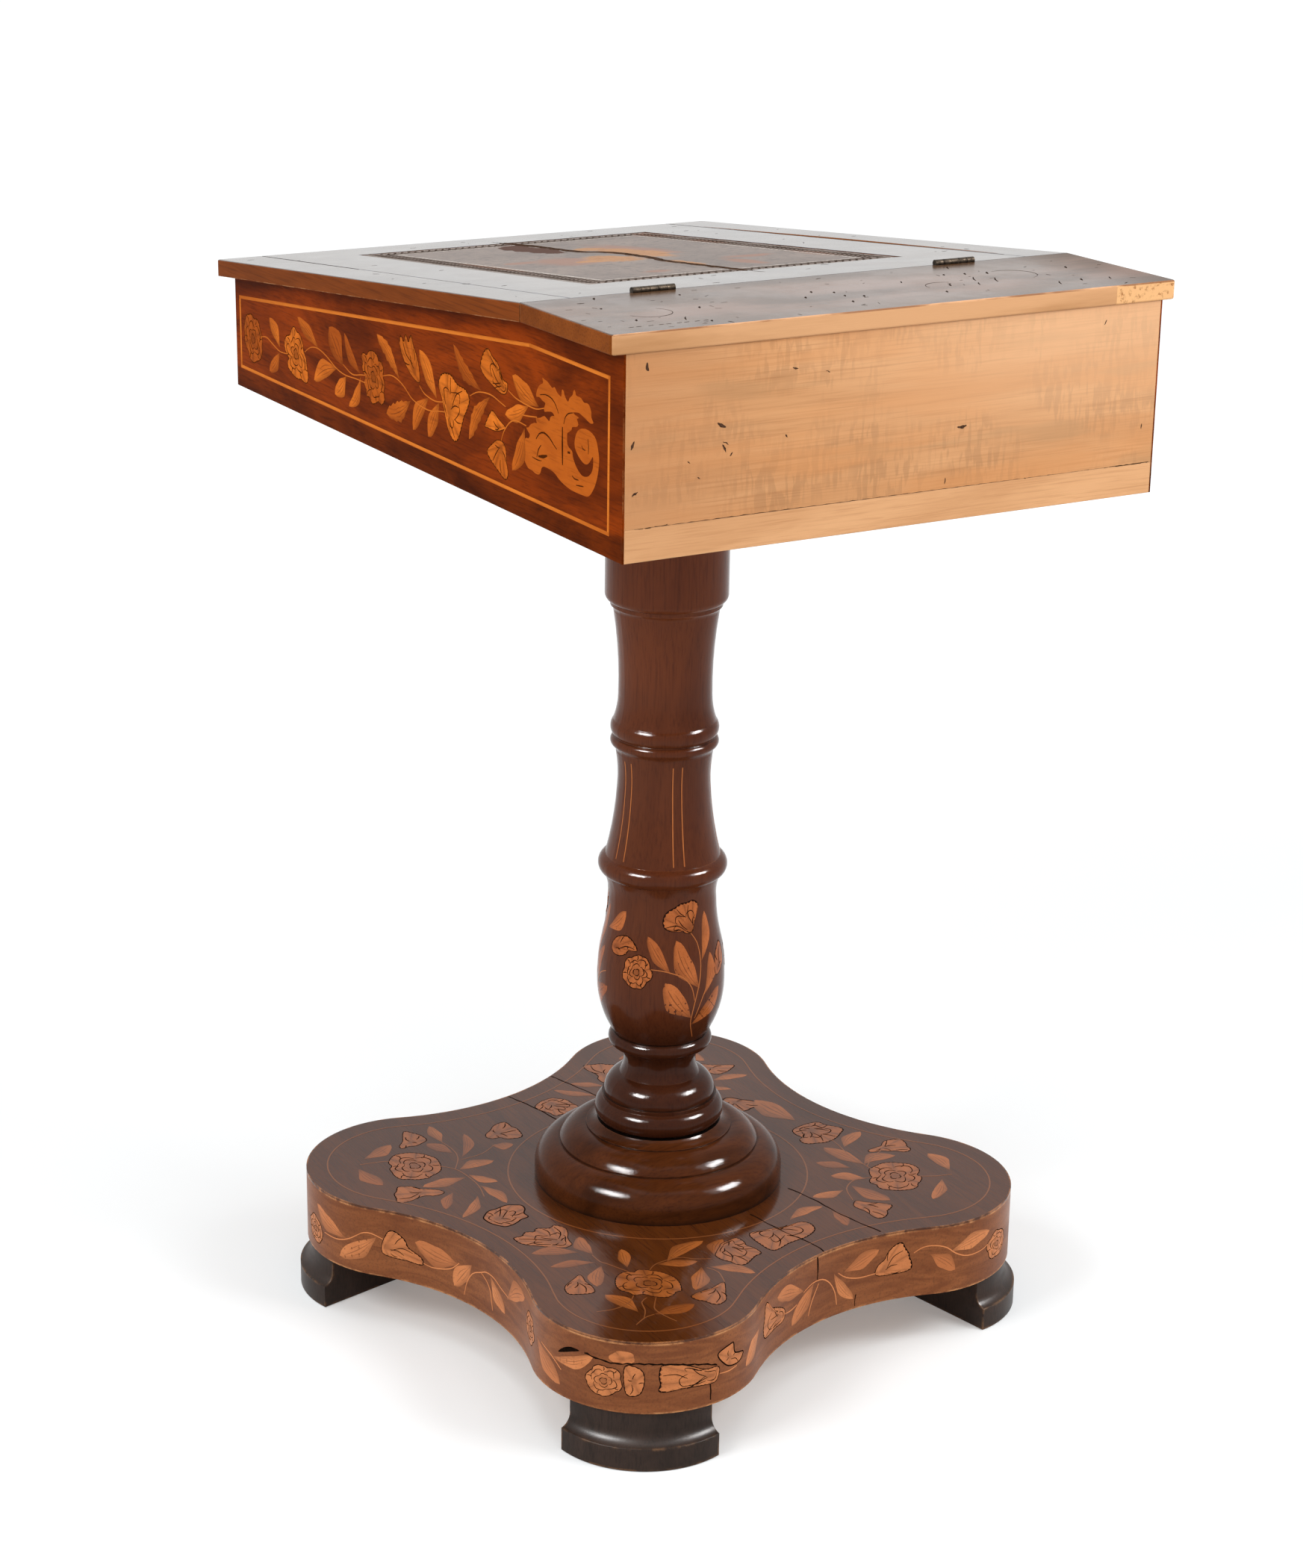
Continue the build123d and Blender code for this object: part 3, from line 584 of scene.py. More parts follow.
left_lobe_flowers = [
    ([(120.7, -4.8), (126.9, -4.8), (131.1, -3.4), (136.7, -2.4), (142.9, -3.4), (145.7, -8.3),
      (147.5, -13.8), (147.5, -18), (146.4, -23.6), (142.2, -27), (136.7, -29.8), (129.7, -29.1),
      (122.8, -29.1), (118.6, -27.7), (115.8, -24.9), (112.8, -21.5), (114.4, -15.9), (119.3, -11.1)],
      (140, -16), 8),
    ([(141.5, -74.3), (145, -73.1), (151.3, -74.9), (153.3, -77.7), (160.3, -79.8), (167.2, -79.1),
      (174.2, -80.5), (176.9, -84), (174.2, -88.1), (170.7, -95.1), (167.2, -97.2), (161.7, -102.4),
      (157.5, -99.9), (153.3, -95.8), (151.3, -90.2), (147.1, -85.4), (142.2, -79.1)], (152, -82), 6),
    ([(36.7, -111), (40.8, -109), (44.3, -110.4), (49.9, -113.8), (51.9, -118.7), (57.5, -120.8),
      (59.3, -125.6), (56.1, -129.8), (49.9, -132.6), (42.2, -137.4), (33.9, -138.1), (31.8, -134.7),
      (33.2, -127.7), (32.5, -122.2)], (50, -126), 6),
    ([(96.4, -151.3), (101.9, -149.3), (108.9, -148.6), (114.4, -151.3), (119.3, -151.3), (118.6, -155.5),
      (111.7, -160.4), (106.8, -166.6), (101.9, -172.2), (99.2, -172.9), (95.7, -163.8), (95, -158.3)],
      (109, -155), 5),
]
right_lobe_leaves = [
    (-90, 111, -94.4, 146, 13), (-80, 112.5, -55, 106, 10), (-106, 110, -90, 90, 12),
    (-111, 90, -97.5, 67, 10), (-122.5, 92.5, -120, 52.5, 13), (-132.5, 62, -161, 51, 11, 0.1, 0, 0.9),
    (-122.5, 92.5, -151, 97, 13, 0.2), (-163.75, 140, -172, 110.6, 12), (-148, 147, -119, 165, 9),
    (-138, 5, -140, -42, 21),
]
right_lobe_stems = [
    [(-136, 130), (-148, 140), (-160, 146)], [(-114, 114), (-100, 106), (-84, 112), (-74, 128)],
    [(-118, 112), (-122, 96), (-124, 78), (-132, 56), (-135, 44)], [(-122, 96), (-136, 88), (-150, 84)],
]
right_rose = [
    (-147, 125), (-143.2, 128.1), (-139.5, 130), (-138.9, 135), (-133.9, 138.75), (-128.9, 140.6),
    (-125.1, 143.75), (-118.9, 143.75), (-113.9, 141.25), (-110.1, 138.75), (-106.4, 134.4), (-103.2, 130),
    (-103.2, 125), (-105.1, 122.5), (-103.9, 117.5), (-106.4, 113.75), (-111.4, 111.25), (-112.6, 108.75),
    (-116.4, 103.75), (-120.1, 100.6), (-127.6, 100), (-133.9, 100), (-140.1, 103.1), (-144.5, 108.75),
    (-148.2, 113.75), (-148.9, 120),
]
right_lobe_flowers = [
    ([(-89.4, 151.3), (-86.3, 154.4), (-80, 156.3), (-77.5, 159.4), (-71.3, 161.9), (-66.9, 160),
      (-66.3, 156.3), (-68.1, 147.5), (-67.5, 136.3), (-72.5, 131.3), (-75.6, 131.3), (-78.1, 136.3),
      (-81.3, 140), (-85, 144.4)], (-74, 139), 6),
    ([(-173.8, 80), (-172.5, 87.5), (-169.4, 91.3), (-168.1, 96.3), (-165, 98.1), (-160.6, 96.9),
      (-157.5, 91.9), (-152.5, 88.1), (-150, 85), (-145, 83.1), (-141.3, 80.6), (-142.5, 77.8), (-150, 78.1),
      (-155, 78.8), (-160, 75.6), (-165, 75)], (-153, 82), 6),
    ([(-154.4, 35), (-153.8, 40), (-147.5, 43.1), (-142.5, 45.6), (-135, 47.5), (-127.5, 46.9),
      (-121.9, 43.8), (-116.3, 40.6), (-114.4, 36.3), (-116.3, 31.3), (-120.6, 29.4), (-120.6, 22.5),
      (-124, 16), (-132, 14.5), (-143, 15.5), (-149, 19), (-149.4, 25), (-152.5, 31.3)], (-135, 24), 9),
]


def quarter_turned(points):
    """Points turned a quarter clockwise, for the lobe on the far side."""
    return [(y, -x) for x, y in points]


far_lobe_leaves = [(base_y, -base_x, tip_y, -tip_x, *shape)
                   for base_x, base_y, tip_x, tip_y, *shape in left_lobe_leaves]
far_lobe_stems = [quarter_turned(stem) for stem in left_lobe_stems]
far_lobe_flowers = [(quarter_turned(outline), *quarter_turned([heart]), petals)
                    for outline, heart, petals in left_lobe_flowers]
top_sheet = new_sheet()
for leaf in near_lobe_leaves + left_lobe_leaves + right_lobe_leaves + far_lobe_leaves:
    lay_leaf(top_sheet, *leaf)
for stem in near_lobe_stems + left_lobe_stems + right_lobe_stems + far_lobe_stems:
    lay_line(top_sheet, stem, 0.9, taper=0.3, tone=0.2)
for outline, centre in ((near_rose, (123, 126)), (left_rose, (131, -122)), (right_rose, (-126, 121)),
                        (quarter_turned(left_rose), (-122, -131))):
    lay_rose(top_sheet, outline, centre, cut=0.85)
for outline, heart, petals in near_lobe_flowers + left_lobe_flowers + right_lobe_flowers + far_lobe_flowers:
    lay_bloom(top_sheet, outline, heart, petals, cut=0.85)
ring_radius, border_inset = 110.0, 15.5
ring_points = [(ring_radius * math.cos(step * math.tau / 48), ring_radius * math.sin(step * math.tau / 48))
               for step in range(48)]
border_points = [tuple(round_the_edge(step * quarter / 26.0, border_inset)[0]) for step in range(104)]
for stringing, wide in ((ring_points, 1.1), (border_points, 1.0)):
    lay_line(top_sheet, stringing, wide, level=0.09, tone=0.1, closed=True)
for crack in ([(-52, 84), (-53, 110), (-51, 140), (-53, 176)], [(-2, 96), (-1, 130), (-3, 158), (-1, 171)],
              [(-51, -80), (-53, -120), (-50, -178)], [(0, -95), (-2, -140), (0, -171)]):
    lay_line(top_sheet, crack, 0.8, level=0.13, kind=GAP, ragged=0.25)
set_in("platform_top_inlay", top_sheet, on_platform, "platform_top_veneer", [*top_finishes, dark_gap])

edge_light = (0.68, 0.245, 0.085)
edge_finishes = inlay_finishes("platform_edge_leaves", "platform_edge_petals", "platform_edge_stems",
                               edge_light, (0.46, 0.145, 0.045), (0.14, 0.045, 0.016), edge_light,
                               edge_light, 0.4, 0.15)
edge_leaves = [
    (-311, 64, -344, 79.5, 12), (-285, 70.5, -317, 48, 13), (-214.4, 67.6, -254, 73.3, 16),
    (-201, 72, -219, 49.5, 13), (-179.4, 72, -160, 51.5, 11), (-157, 64.3, -124, 82, 14),
    (-90, 70.5, -60, 48, 14), (-68, 66, -32, 78.5, 9), (108.8, 73.3, 85, 55.5, 13), (175, 70.8, 141, 80, 12),
    (186, 72.6, 162, 49, 13), (206, 73.3, 224.5, 48, 8), (215, 71.4, 245, 82, 11), (285, 72, 305, 57, 11),
    (301, 72, 337, 79, 11),
]
edge_stems = [
    [(-299, 70.5), (-309, 64), (-320, 60.5), (-334, 60.5)],
    [(-299, 70.5), (-295, 72.6), (-289, 73), (-280, 70)],
    [(-247, 58.5), (-240, 57.3), (-230, 59), (-221, 62.6), (-214, 69)],
    [(-209, 46), (-206, 57), (-200, 66), (-191, 70.5), (-184, 73.3), (-175, 72.6), (-166, 69), (-155, 66.4)],
    [(-191, 70.5), (-185, 67), (-180, 61), (-177, 46.4)],
    [(-82.5, 70), (-70, 66.4), (-62.5, 62), (-59, 59.5)], [(57.5, 61.4), (66, 60.5), (74, 61.4)],
    [(152.5, 62.6), (160, 61.8), (167.5, 63.3)], [(181, 49), (184, 58), (191, 70.8)],
    [(175, 69.5), (185, 73.3), (195, 72.6), (202.5, 67), (207.5, 58), (209.4, 48)],
    [(210, 72.6), (217.5, 67), (229, 63.5), (242.5, 63.5)],
    [(272.5, 74.5), (280, 78.3), (289, 78.5), (297.5, 75.8), (305, 70), (315, 65.8), (327.5, 65.8),
     (336, 68)],
]
edge_flowers = [
    ([(-280, 68.3), (-276, 76.4), (-272.5, 78), (-268.8, 77), (-262.5, 72.6), (-260, 67.6), (-255, 65),
      (-248.8, 62), (-247, 58.3), (-250, 56.4), (-260, 57), (-270, 57), (-279, 58.3), (-281, 62)], (-279, 64),
      6),
    ([(15, 76), (25, 76), (34, 73), (46, 68), (55, 67.6), (57, 64.5), (55, 58), (51, 56.4), (42, 57),
      (30, 57.6), (20, 56.4), (13, 57), (14, 62), (13, 68)], (52, 62), 8),
    ([(-10, 74.5), (0, 73.5), (3, 66), (0, 55), (-9, 55)], (-4, 64), 4),
    ([(55.6, 76.4), (67.5, 80.5), (70, 79.5), (71, 73), (75, 70.8), (81, 69), (77.5, 64), (70, 63.3),
      (62.5, 66.4)], (66, 71), 4),
    ([(121, 83), (125, 84), (131, 77), (140, 73), (147.5, 69.5), (152, 66), (152.5, 61), (149, 58), (139, 58),
      (122.5, 58), (118, 66), (120, 74.5)], (147, 63), 7),
    ([(242.5, 64), (245, 69.5), (250, 73), (252.5, 78), (257.5, 82.6), (263, 84), (265.6, 79.5),
      (268.8, 74.5), (269, 72), (271, 67), (270.6, 62.6), (265, 60.8), (254, 60.5), (245, 61.4)], (247, 64),
      6),
]
edge_roses = [(-108, 67, 26, 23), (-24.7, 62, 28, 24), (-348, 58, 24, 22), (348, 64, 26, 24)]
edge_cracks = [
    ([(-39, 79.5), (-20, 76.4), (0, 77.6), (20, 76.4), (40, 73.3), (55, 69)], 1.0),
    ([(50, 44), (50.5, 50), (49.5, 56)], 0.7), ([(226, 42), (226.5, 51)], 0.7), ([(190, 74), (189, 92)], 1.0),
]
lost_chip = [(-62, 72), (-57, 77), (-50, 80), (-43, 79.5), (-49, 77), (-55, 74.5)]
for part_name, start in (("near", 0.0), ("far", 2.0 * quarter)):
    edge_sheet = new_sheet()

    def along_edge(points):
        """A drawing moved to where this half of the edge starts."""
        return [(run + start, height) for run, height in points]

    for base_run, base_height, tip_run, *shape in edge_leaves:
        lay_leaf(edge_sheet, base_run + start, base_height, tip_run + start, *shape)
    for outline, heart, petals in edge_flowers:
        lay_bloom(edge_sheet, along_edge(outline), *along_edge([heart]), petals, 0.55, fringe=0.04)
    for run, height, width, tall in edge_roses:
        lay_rose(edge_sheet, round_flower(run + start, height, width, tall), (run + start, height), 5)
    lay_petals(edge_sheet, along_edge(round_flower(-12, 81, 19, 11, 3)), (start - 12, 80), 3)
    for stem in edge_stems:
        lay_line(edge_sheet, along_edge(stem), 0.9, taper=0.3)
    if part_name == "near":
        for crack, wide in edge_cracks:
            lay_line(edge_sheet, crack, wide, level=0.13, kind=GAP, ragged=0.35)
        lay_petals(edge_sheet, lost_chip, (-53, 76.8), 3, level=0.12, kind=GAP)
    set_in("platform_edge_inlay_" + part_name, edge_sheet, on_edge, "platform_edge_veneer",
           [*edge_finishes, dark_gap])

# Turned pedestal
# The stepped disc, the column and the cap are turned from dark mahogany and polished bright. The vase of the
# column is inlaid with three sprays of flowers, and the part above it with pairs of lines.


def opened(material):
    """A finished material's node tree, its shader and the colour that reaches it."""
    tree = material.node_tree
    shader = tree.nodes["Principled BSDF"]
    return tree, shader, shader.inputs["Base Color"].links[0].from_socket


def shaded_and_grimed(material, reach, shade_and_grime):
    """Painted shade from ambient occlusion in the hollows and where other parts come near, which also stands
    for old wax and dust gone dark in the hollows.
    """
    tree, shader, clean = opened(material)
    open_sky = node(tree, "ShaderNodeAmbientOcclusion", {"Distance": reach}, samples=8).outputs["AO"]
    tree.links.new(tint(tree, ramp(tree, open_sky, 0.80, 0.38), clean, shade_and_grime), shader.inputs["Base Color"])


turned_mahogany = wood("turned_mahogany", (0.115, 0.031, 0.011), (0.082, 0.021, 0.008), (0.045, 0.012, 0.006),
                       2, 0.12, figure=14.0, drawn=4.0, pores=0.1, worn=(0.20, 0.06, 0.02),
                       wear_reach=0.0008, soft_edge=0.0003, shine=0.09)
tree, shader, colour = opened(turned_mahogany)
level = own_place(tree)[1]["Z"]
colour = tint(tree, ramp(tree, level, 0.245, 0.205), colour, (0.48, 0.50, 0.55), "MULTIPLY")
colour = tint(tree, ramp(tree, level, 0.45, 0.49), colour, (1.3, 1.3, 1.25), "MULTIPLY")
tenon_end = ramp(tree, level, 0.650, 0.651)
tree.links.new(tint(tree, tenon_end, colour, (0.26, 0.105, 0.045)), shader.inputs["Base Color"])
gloss = shader.inputs["Roughness"].links[0].from_socket
tree.links.new(arithmetic(tree, "MAXIMUM", gloss, times(tree, tenon_end, 0.9)), shader.inputs["Roughness"])
# Painted shade in the hollows of the column and cap, with dark wax and dust there.
shaded_and_grimed(turned_mahogany, 0.006, (0.012, 0.006, 0.004))
finish_nodes(turned_mahogany, ["column_shaft", "column_cap"])
disc_mahogany = wood("disc_mahogany", (0.105, 0.028, 0.007), (0.040, 0.011, 0.003), (0.022, 0.007, 0.003), 0,
                     0.11, figure=16.0, drawn=3.0, pores=0.2, worn=(0.16, 0.05, 0.02), wear_reach=0.0008,
                     soft_edge=0.0003, shine=0.065)
# Painted shade in the hollows of the disc and where it meets the platform, with dark wax and dust there.
shaded_and_grimed(disc_mahogany, 0.009, (0.008, 0.005, 0.004))
finish_nodes(disc_mahogany, ["pedestal_disc"])

turned_profile = [
    (208.0, 34.2), (210.9, 35.9), (222.0, 41.2), (233.2, 44.3), (244.2, 45.6), (255.2, 45.8), (266.2, 44.9),
    (277.7, 43.3), (288.7, 40.9), (299.5, 39.3), (306.9, 38.6), (317.2, 38.6), (324.0, 39.9), (330.0, 41.5),
    (338.0, 41.0), (345.0, 40.6), (364.7, 36.8), (387.6, 33.7), (402.6, 32.8), (415.4, 33.1), (422.0, 34.2),
]
degrees_per_millimetre = 1.0 / 0.785
camera_side = 59.33


def on_column(run, height):
    """A place on the column, with the run round it measured on its widest part."""
    below, above = turned_profile[0], turned_profile[-1]
    for first, second in zip(turned_profile, turned_profile[1:]):
        if first[0] <= height <= second[0]:
            below, above = first, second
    part = (height - below[0]) / (above[0] - below[0])
    radius = (below[1] + (above[1] - below[1]) * part) * mm
    angle = math.radians(camera_side + run * degrees_per_millimetre)
    out = Vector((math.cos(angle), math.sin(angle), 0.0))
    return out * radius + platform_middle + Vector((0.0, 0.0, height * mm)), out


vase_finishes = inlay_finishes("vase_leaves", "vase_petals", "column_stringing", (0.56, 0.165, 0.045),
                               (0.30, 0.076, 0.020), (0.07, 0.018, 0.006), (0.60, 0.20, 0.055),
                               (0.42, 0.13, 0.036), 0.13, 0.08)
spray_leaves = [
    (8.8, 267.4, -13.8, 293.8, 9), (37.5, 254, 15, 291, 14), (40.6, 274, 50, 308.5, 9),
    (42.5, 248, 52.5, 278, 9), (30, 232, 4, 261, 15), (31, 226, 64, 250, 12),
]
spray_stems = [
    [(37.5, 214), (32, 222.5), (30, 230), (32, 242.5), (36.3, 256), (38.8, 267.5), (39.4, 277.5),
     (37.5, 287.5), (31.3, 295)],
    [(32, 245.6), (28.8, 256), (21, 264), (10, 268), (0, 270), (-9, 270.6)],
    [(33.8, 231), (40, 245), (47.5, 255), (57.5, 260), (61, 261)],
]
spray_carnation = [
    (2, 307.5), (6, 312), (14, 315), (20, 317.5), (27.5, 318), (34, 319), (41, 315), (39, 310), (36, 305),
    (35, 300), (32.5, 295.6), (26, 295.6), (20, 298), (10, 298), (2.5, 301),
]
spray_buds = [
    ([(59.3, 259.6), (58, 268.4), (62.6, 276.5), (72, 281.5), (76.4, 273.8), (75.5, 266.5), (66.9, 260.7)],
      (62.5, 262.5)),
    ([(65, 282), (70.5, 288.2), (80.2, 290.9), (87.3, 290.2), (94, 286), (96, 282.6), (87.3, 282),
      (84.5, 278.9), (77.2, 276.4), (68.7, 277.2)], (68.5, 281)),
]
column_sheet = new_sheet()
for spray in range(3):
    swing = -120.0 * spray

    def round_vase(points):
        """A drawing in degrees round the vase, moved to this spray's place."""
        return [((angle + swing) / degrees_per_millimetre, height) for angle, height in points]

    for base_angle, base_height, *tip, wide in spray_leaves:
        base, tip = round_vase([(base_angle, base_height), tip])
        lay_leaf(column_sheet, *base, *tip, wide)
    for stem in spray_stems:
        lay_line(column_sheet, round_vase(stem), 0.8, taper=0.3, tone=0.3)
    heart = round_vase([(33, 297)])[0]
    lay_bloom(column_sheet, round_vase(spray_carnation), heart, 9, 0.7, cut=0.75, fringe=0.05)
    flower = round_vase([(-22.5, 267.5)])[0]
    lay_rose(column_sheet, round_flower(*flower, 23, 27, 7), flower, 7, 0.8, 0.75)
    bud, bud_heart = spray_buds[min(spray, 1)]
    lay_bloom(column_sheet, round_vase(bud), *round_vase([bud_heart]), 5, 0.5, cut=0.75)
    if spray:
        base, tip = round_vase([(53, 291.7), (79.6, 308.9)])
        lay_leaf(column_sheet, *base, *tip, 10)
for pair in (-48.7, 16.7, 90.35, 164.0, 237.65):
    for side in (-5.75, 5.75):
        run = (pair + side) / degrees_per_millimetre
        lay_line(column_sheet, [(run, height) for height in (346.0, 365.0, 392.0, 417.0)], 0.9)
set_in("column_inlay", column_sheet, on_column, "column_shaft", [*vase_finishes, dark_gap])

# Case
# A bottom, a front dovetailed to two sides and a cleat for the column's wedged tenon, all of pale hardwood.
# The sides and the front carry mahogany veneer, glued on, and the sides are inlaid with a vase and flowers.

finish_nodes(pale, ["case_bottom", "case_front", "case_side_left", "case_side_right", "column_cleat",
                    "top_tenon_wedge"])


def case_mahogany(name, grain):
    """The veneer of the sides or of the front."""
    return wood(name, (0.285, 0.042, 0.0025), (0.100, 0.0145, 0.0012), (0.045, 0.007, 0.001), grain, 0.24,
                figure=20.0, drawn=3.0, pores=0.3, worn=(0.30, 0.10, 0.03), shine=0.005)


panel_mahogany = case_mahogany("panel_mahogany", 1)
tree, shader, colour = opened(panel_mahogany)
# The lowest band of the side veneer is darkened: painted shade.
shaded_bottom_band = ramp(tree, own_place(tree)[1]["Z"], 0.664, 0.655)
tree.links.new(tint(tree, shaded_bottom_band, colour, (0.55, 0.58, 0.66), "MULTIPLY"), shader.inputs["Base Color"])
finish_nodes(panel_mahogany, ["side_veneer_left", "side_veneer_right"])
finish_nodes(case_mahogany("front_mahogany", 0), ["front_veneer"])

panel_finishes = inlay_finishes("panel_leaves", "panel_petals", "panel_stringing", (0.70, 0.175, 0.018),
                                (0.33, 0.064, 0.006), (0.070, 0.012, 0.002), (0.74, 0.215, 0.028),
                                (0.52, 0.135, 0.016), 0.26, 0.005)
panel_gap = open_gap("panel_saw_cut", (0.085, 0.020, 0.004))
veneer_face = 0.194
panel_leaves = [
    (-198.8, 684.7, -216, 702.8, 11), (-199.6, 681, -217.7, 664.7, 10), (-133.6, 695.6, -167.7, 711.5, 10),
    (-94.5, 691, -116, 713.7, 20, 0.0, 0, 0.1), (-67, 690.5, -91.6, 713.7, 9),
    (-104.6, 687, -142, 672.4, 13, None, 0, 0.9), (-90, 684.7, -108, 669, 12), (-67, 689, -86, 665, 9, 0.16),
    (-7.5, 697.8, -41, 722, 11, None, 6), (8.4, 687, -27.8, 671.7, 14, None, 6),
    (46.4, 695.6, 22, 723, 13, None, 0, 0.9), (34.8, 693.8, 11.6, 668.5, 12), (50, 693.8, 34, 668.5, 12),
    (108.7, 712.7, 70.3, 735, 11, None, 6), (120.3, 711.2, 91.3, 678.6, 11, None, 6),
    (183.3, 717.3, 149.3, 730, 13), (170.3, 715.3, 140, 704, 10), (165.2, 701, 149.3, 671, 12),
]
panel_stems = [
    [(-233.6, 686), (-222, 688), (-210, 684.7), (-199, 682), (-187, 682.5)],
    [(-157, 689), (-147, 694), (-135, 695.6), (-120.6, 692.7), (-106, 687.6), (-91.6, 685.4), (-74, 686),
     (-60, 686)],
    [(-94.5, 692), (-80, 688), (-67, 690), (-60, 691)], [(-33, 695.6), (-19, 698.5), (-4.6, 696), (9.9, 689)],
    [(0, 694.6), (8.7, 689.5), (20.3, 687), (34.8, 686), (47.8, 688), (58, 689.5)],
    [(21.7, 699.6), (29, 695.6), (43.5, 693.8), (56.5, 695.6)],
    [(92.8, 706.6), (104.3, 711.2), (120.3, 712.7), (133.3, 710.5), (140.6, 709)],
    [(143.5, 720), (153.6, 717), (166.7, 715.6), (179.7, 715.3), (190, 717.8)],
    [(160, 708), (170, 709), (181, 710.5)],
    [(134.8, 686.6), (137.7, 692.4), (145, 699.6), (153.6, 703), (167.4, 702.5)],
]
panel_flowers = [
    ([(49.3, 705.4), (53.6, 712.7), (65.2, 714.9), (75.4, 710.5), (87, 709), (92, 704), (88.4, 696.7),
      (84, 691), (79.7, 682), (75.4, 675), (69.6, 673.6), (62.3, 679.3), (58, 688), (53.6, 698)], (62, 692),
      8),
    ([(107.2, 728.6), (111.6, 737.3), (117.4, 740.5), (123.2, 736.6), (129, 734.4), (133.3, 730), (137, 725),
      (142.8, 723.6), (141.3, 717.8), (134.8, 716.3), (123.2, 719.2), (111.6, 723.6)], (138, 720.5), 7),
    ([(113, 691.7), (118.8, 699.6), (123.2, 703), (130.4, 699.6), (140, 696), (136, 693.8), (127.5, 691.4),
      (116, 691.4)], (134, 694.5), 4),
    ([(116, 676.4), (123.2, 682.2), (129, 685.6), (136.2, 686), (140.6, 682.2), (141.3, 675), (143.5, 667.8),
      (140, 663.4), (130.4, 667), (120.3, 672)], (135, 683), 6),
]
panel_roses = [
    ([(-259.3, 693.3), (-256, 697.7), (-251.7, 699), (-247.7, 699.7), (-243.3, 697.3), (-238.3, 697.7),
      (-234.3, 695), (-233.3, 691.7), (-230, 687.7), (-229.3, 683.3), (-230.7, 680), (-230, 676.7),
      (-232.3, 671.7), (-235.7, 669), (-240, 667.7), (-245, 665.7), (-249.3, 666.3), (-252.3, 668.3),
      (-254, 671.7), (-258, 675), (-260.7, 679), (-260, 683.3), (-261, 687.7)], (-245.5, 682.5), 6),
    ([(-190, 691.7), (-186.7, 695), (-181, 696.7), (-178.3, 701), (-174, 703.7), (-170, 701), (-165, 700),
      (-160, 695), (-159.3, 690), (-155, 685), (-153.3, 678.3), (-152, 672.3), (-154, 668.3), (-158.3, 667.7),
      (-163.3, 669), (-168.3, 668.3), (-175, 669), (-180, 671), (-185, 673.3), (-185.7, 677.7), (-183.3, 680),
      (-188.3, 683.3), (-190.7, 687.7)], (-171, 685), 7),
    ([(-65, 703.3), (-61.7, 705.7), (-57.3, 705), (-53.3, 708.3), (-46.7, 709.3), (-40.7, 707.3),
      (-39.3, 704.3), (-35, 704.3), (-31.7, 700), (-32.7, 695.7), (-30, 690), (-31.7, 685), (-30.7, 680),
      (-35, 676), (-40, 677.3), (-45, 675), (-50, 674.3), (-53.3, 677.7), (-57.3, 677.7), (-58.3, 681.7),
      (-61.7, 685.7), (-60, 690), (-64, 695), (-63.3, 699)], (-47, 692), 7),
]
panel_bud = [
    (21.7, 701.8), (13, 703), (4, 708), (-3, 715), (-7, 722), (-5, 727), (-1, 724), (2, 729), (6, 725),
    (10, 730), (13, 724), (18, 718), (21, 711),
]
scroll_outline = [
    (180, 723), (181, 727), (184, 730.5), (188.5, 732.8), (187.7, 735.8), (190, 735.4), (195, 734.3),
    (200, 732), (203, 733), (206, 730.5), (209, 729.3), (211.4, 729), (212, 733), (214, 733), (215.5, 730.3),
    (218, 728), (220, 727.6), (221.5, 730), (225, 732.5), (226, 735), (227.2, 736), (228.5, 735),
    (229.5, 733), (235, 732.7), (239, 730.7), (243, 731), (246, 729.5), (247.7, 726.5), (248, 723.5),
    (250.3, 720.8), (247, 719.8), (244, 720.5), (237, 722.5), (232, 723.3), (226, 722.3), (227, 721.6),
    (233, 720.3), (230.5, 719.3), (232.3, 716.3), (230, 714.4), (225, 713.3), (224, 711.5), (221, 709.5),
    (219, 708.5), (218.7, 705.5), (219, 702), (221, 700.3), (225, 698.6), (226, 695.5), (228.5, 692),
    (232, 689), (236, 687), (240, 686.6), (245, 688), (249, 691.5), (250.5, 696), (250, 700.5), (247.5, 698),
    (244, 695), (240, 694.3), (235.5, 695.8), (231, 698.6), (228.2, 702), (228, 706), (230, 710.5),
    (233, 713.3), (238, 715), (244, 715.3), (250, 714), (254, 711), (256.5, 705), (257.5, 700), (256.5, 693),
    (254, 686), (250, 680), (245, 675.8), (238, 675), (226, 675), (218, 676), (210, 678), (203, 681),
    (196, 682), (190, 682), (187, 680.5), (186, 678), (184, 676), (180, 675.5), (175, 676.5), (170, 677),
    (166, 680), (164.5, 684), (163.5, 689), (165, 693), (167, 695), (170.5, 695.5), (172, 698), (169, 700),
    (167.5, 701.5), (170, 702), (173, 704.5), (178, 706.5), (181, 707), (179.5, 709.5), (185, 711),
    (190, 713), (193, 712.3), (196.5, 711.2), (198, 714), (201, 715.3), (203, 715.5), (200, 717.3),
    (195, 716.7), (190.5, 715.8), (190, 718), (191.5, 721), (188, 722), (184, 723.3),
]
scroll_cuts = [
    ([(185, 725), (192, 726.3), (200, 725.3), (205, 722), (208, 718)], 0.9),
    ([(180, 697), (184, 701), (190, 702.8), (197, 701), (202, 698), (206, 696)], 1.2),
    ([(213, 711), (213, 700), (213.3, 688)], 1.8),
    ([(214.5, 713), (216, 717), (220, 720.4), (226, 722)], 0.9),
    ([(175, 685), (182, 684.5), (187, 685)], 0.7), ([(181, 686), (183, 691), (186.3, 694.5)], 1.0),
    ([(183, 687), (189, 688), (194, 689.5)], 2.2), ([(225, 684), (228, 682.8), (233, 683)], 1.0),
    ([(230, 679.3), (234, 679.8), (239, 680.4)], 0.9), ([(244.6, 701), (244.8, 706), (244, 710)], 0.8),
    ([(236.5, 704.5), (238, 702.8), (241, 702.5)], 0.8), ([(219.5, 697), (222.5, 697.3)], 2.6),
]
margin_corners = [(-267.5, 659), (-267.5, 709), (172, 752.5), (268.8, 751), (268.8, 658.5), (-267.5, 659)]


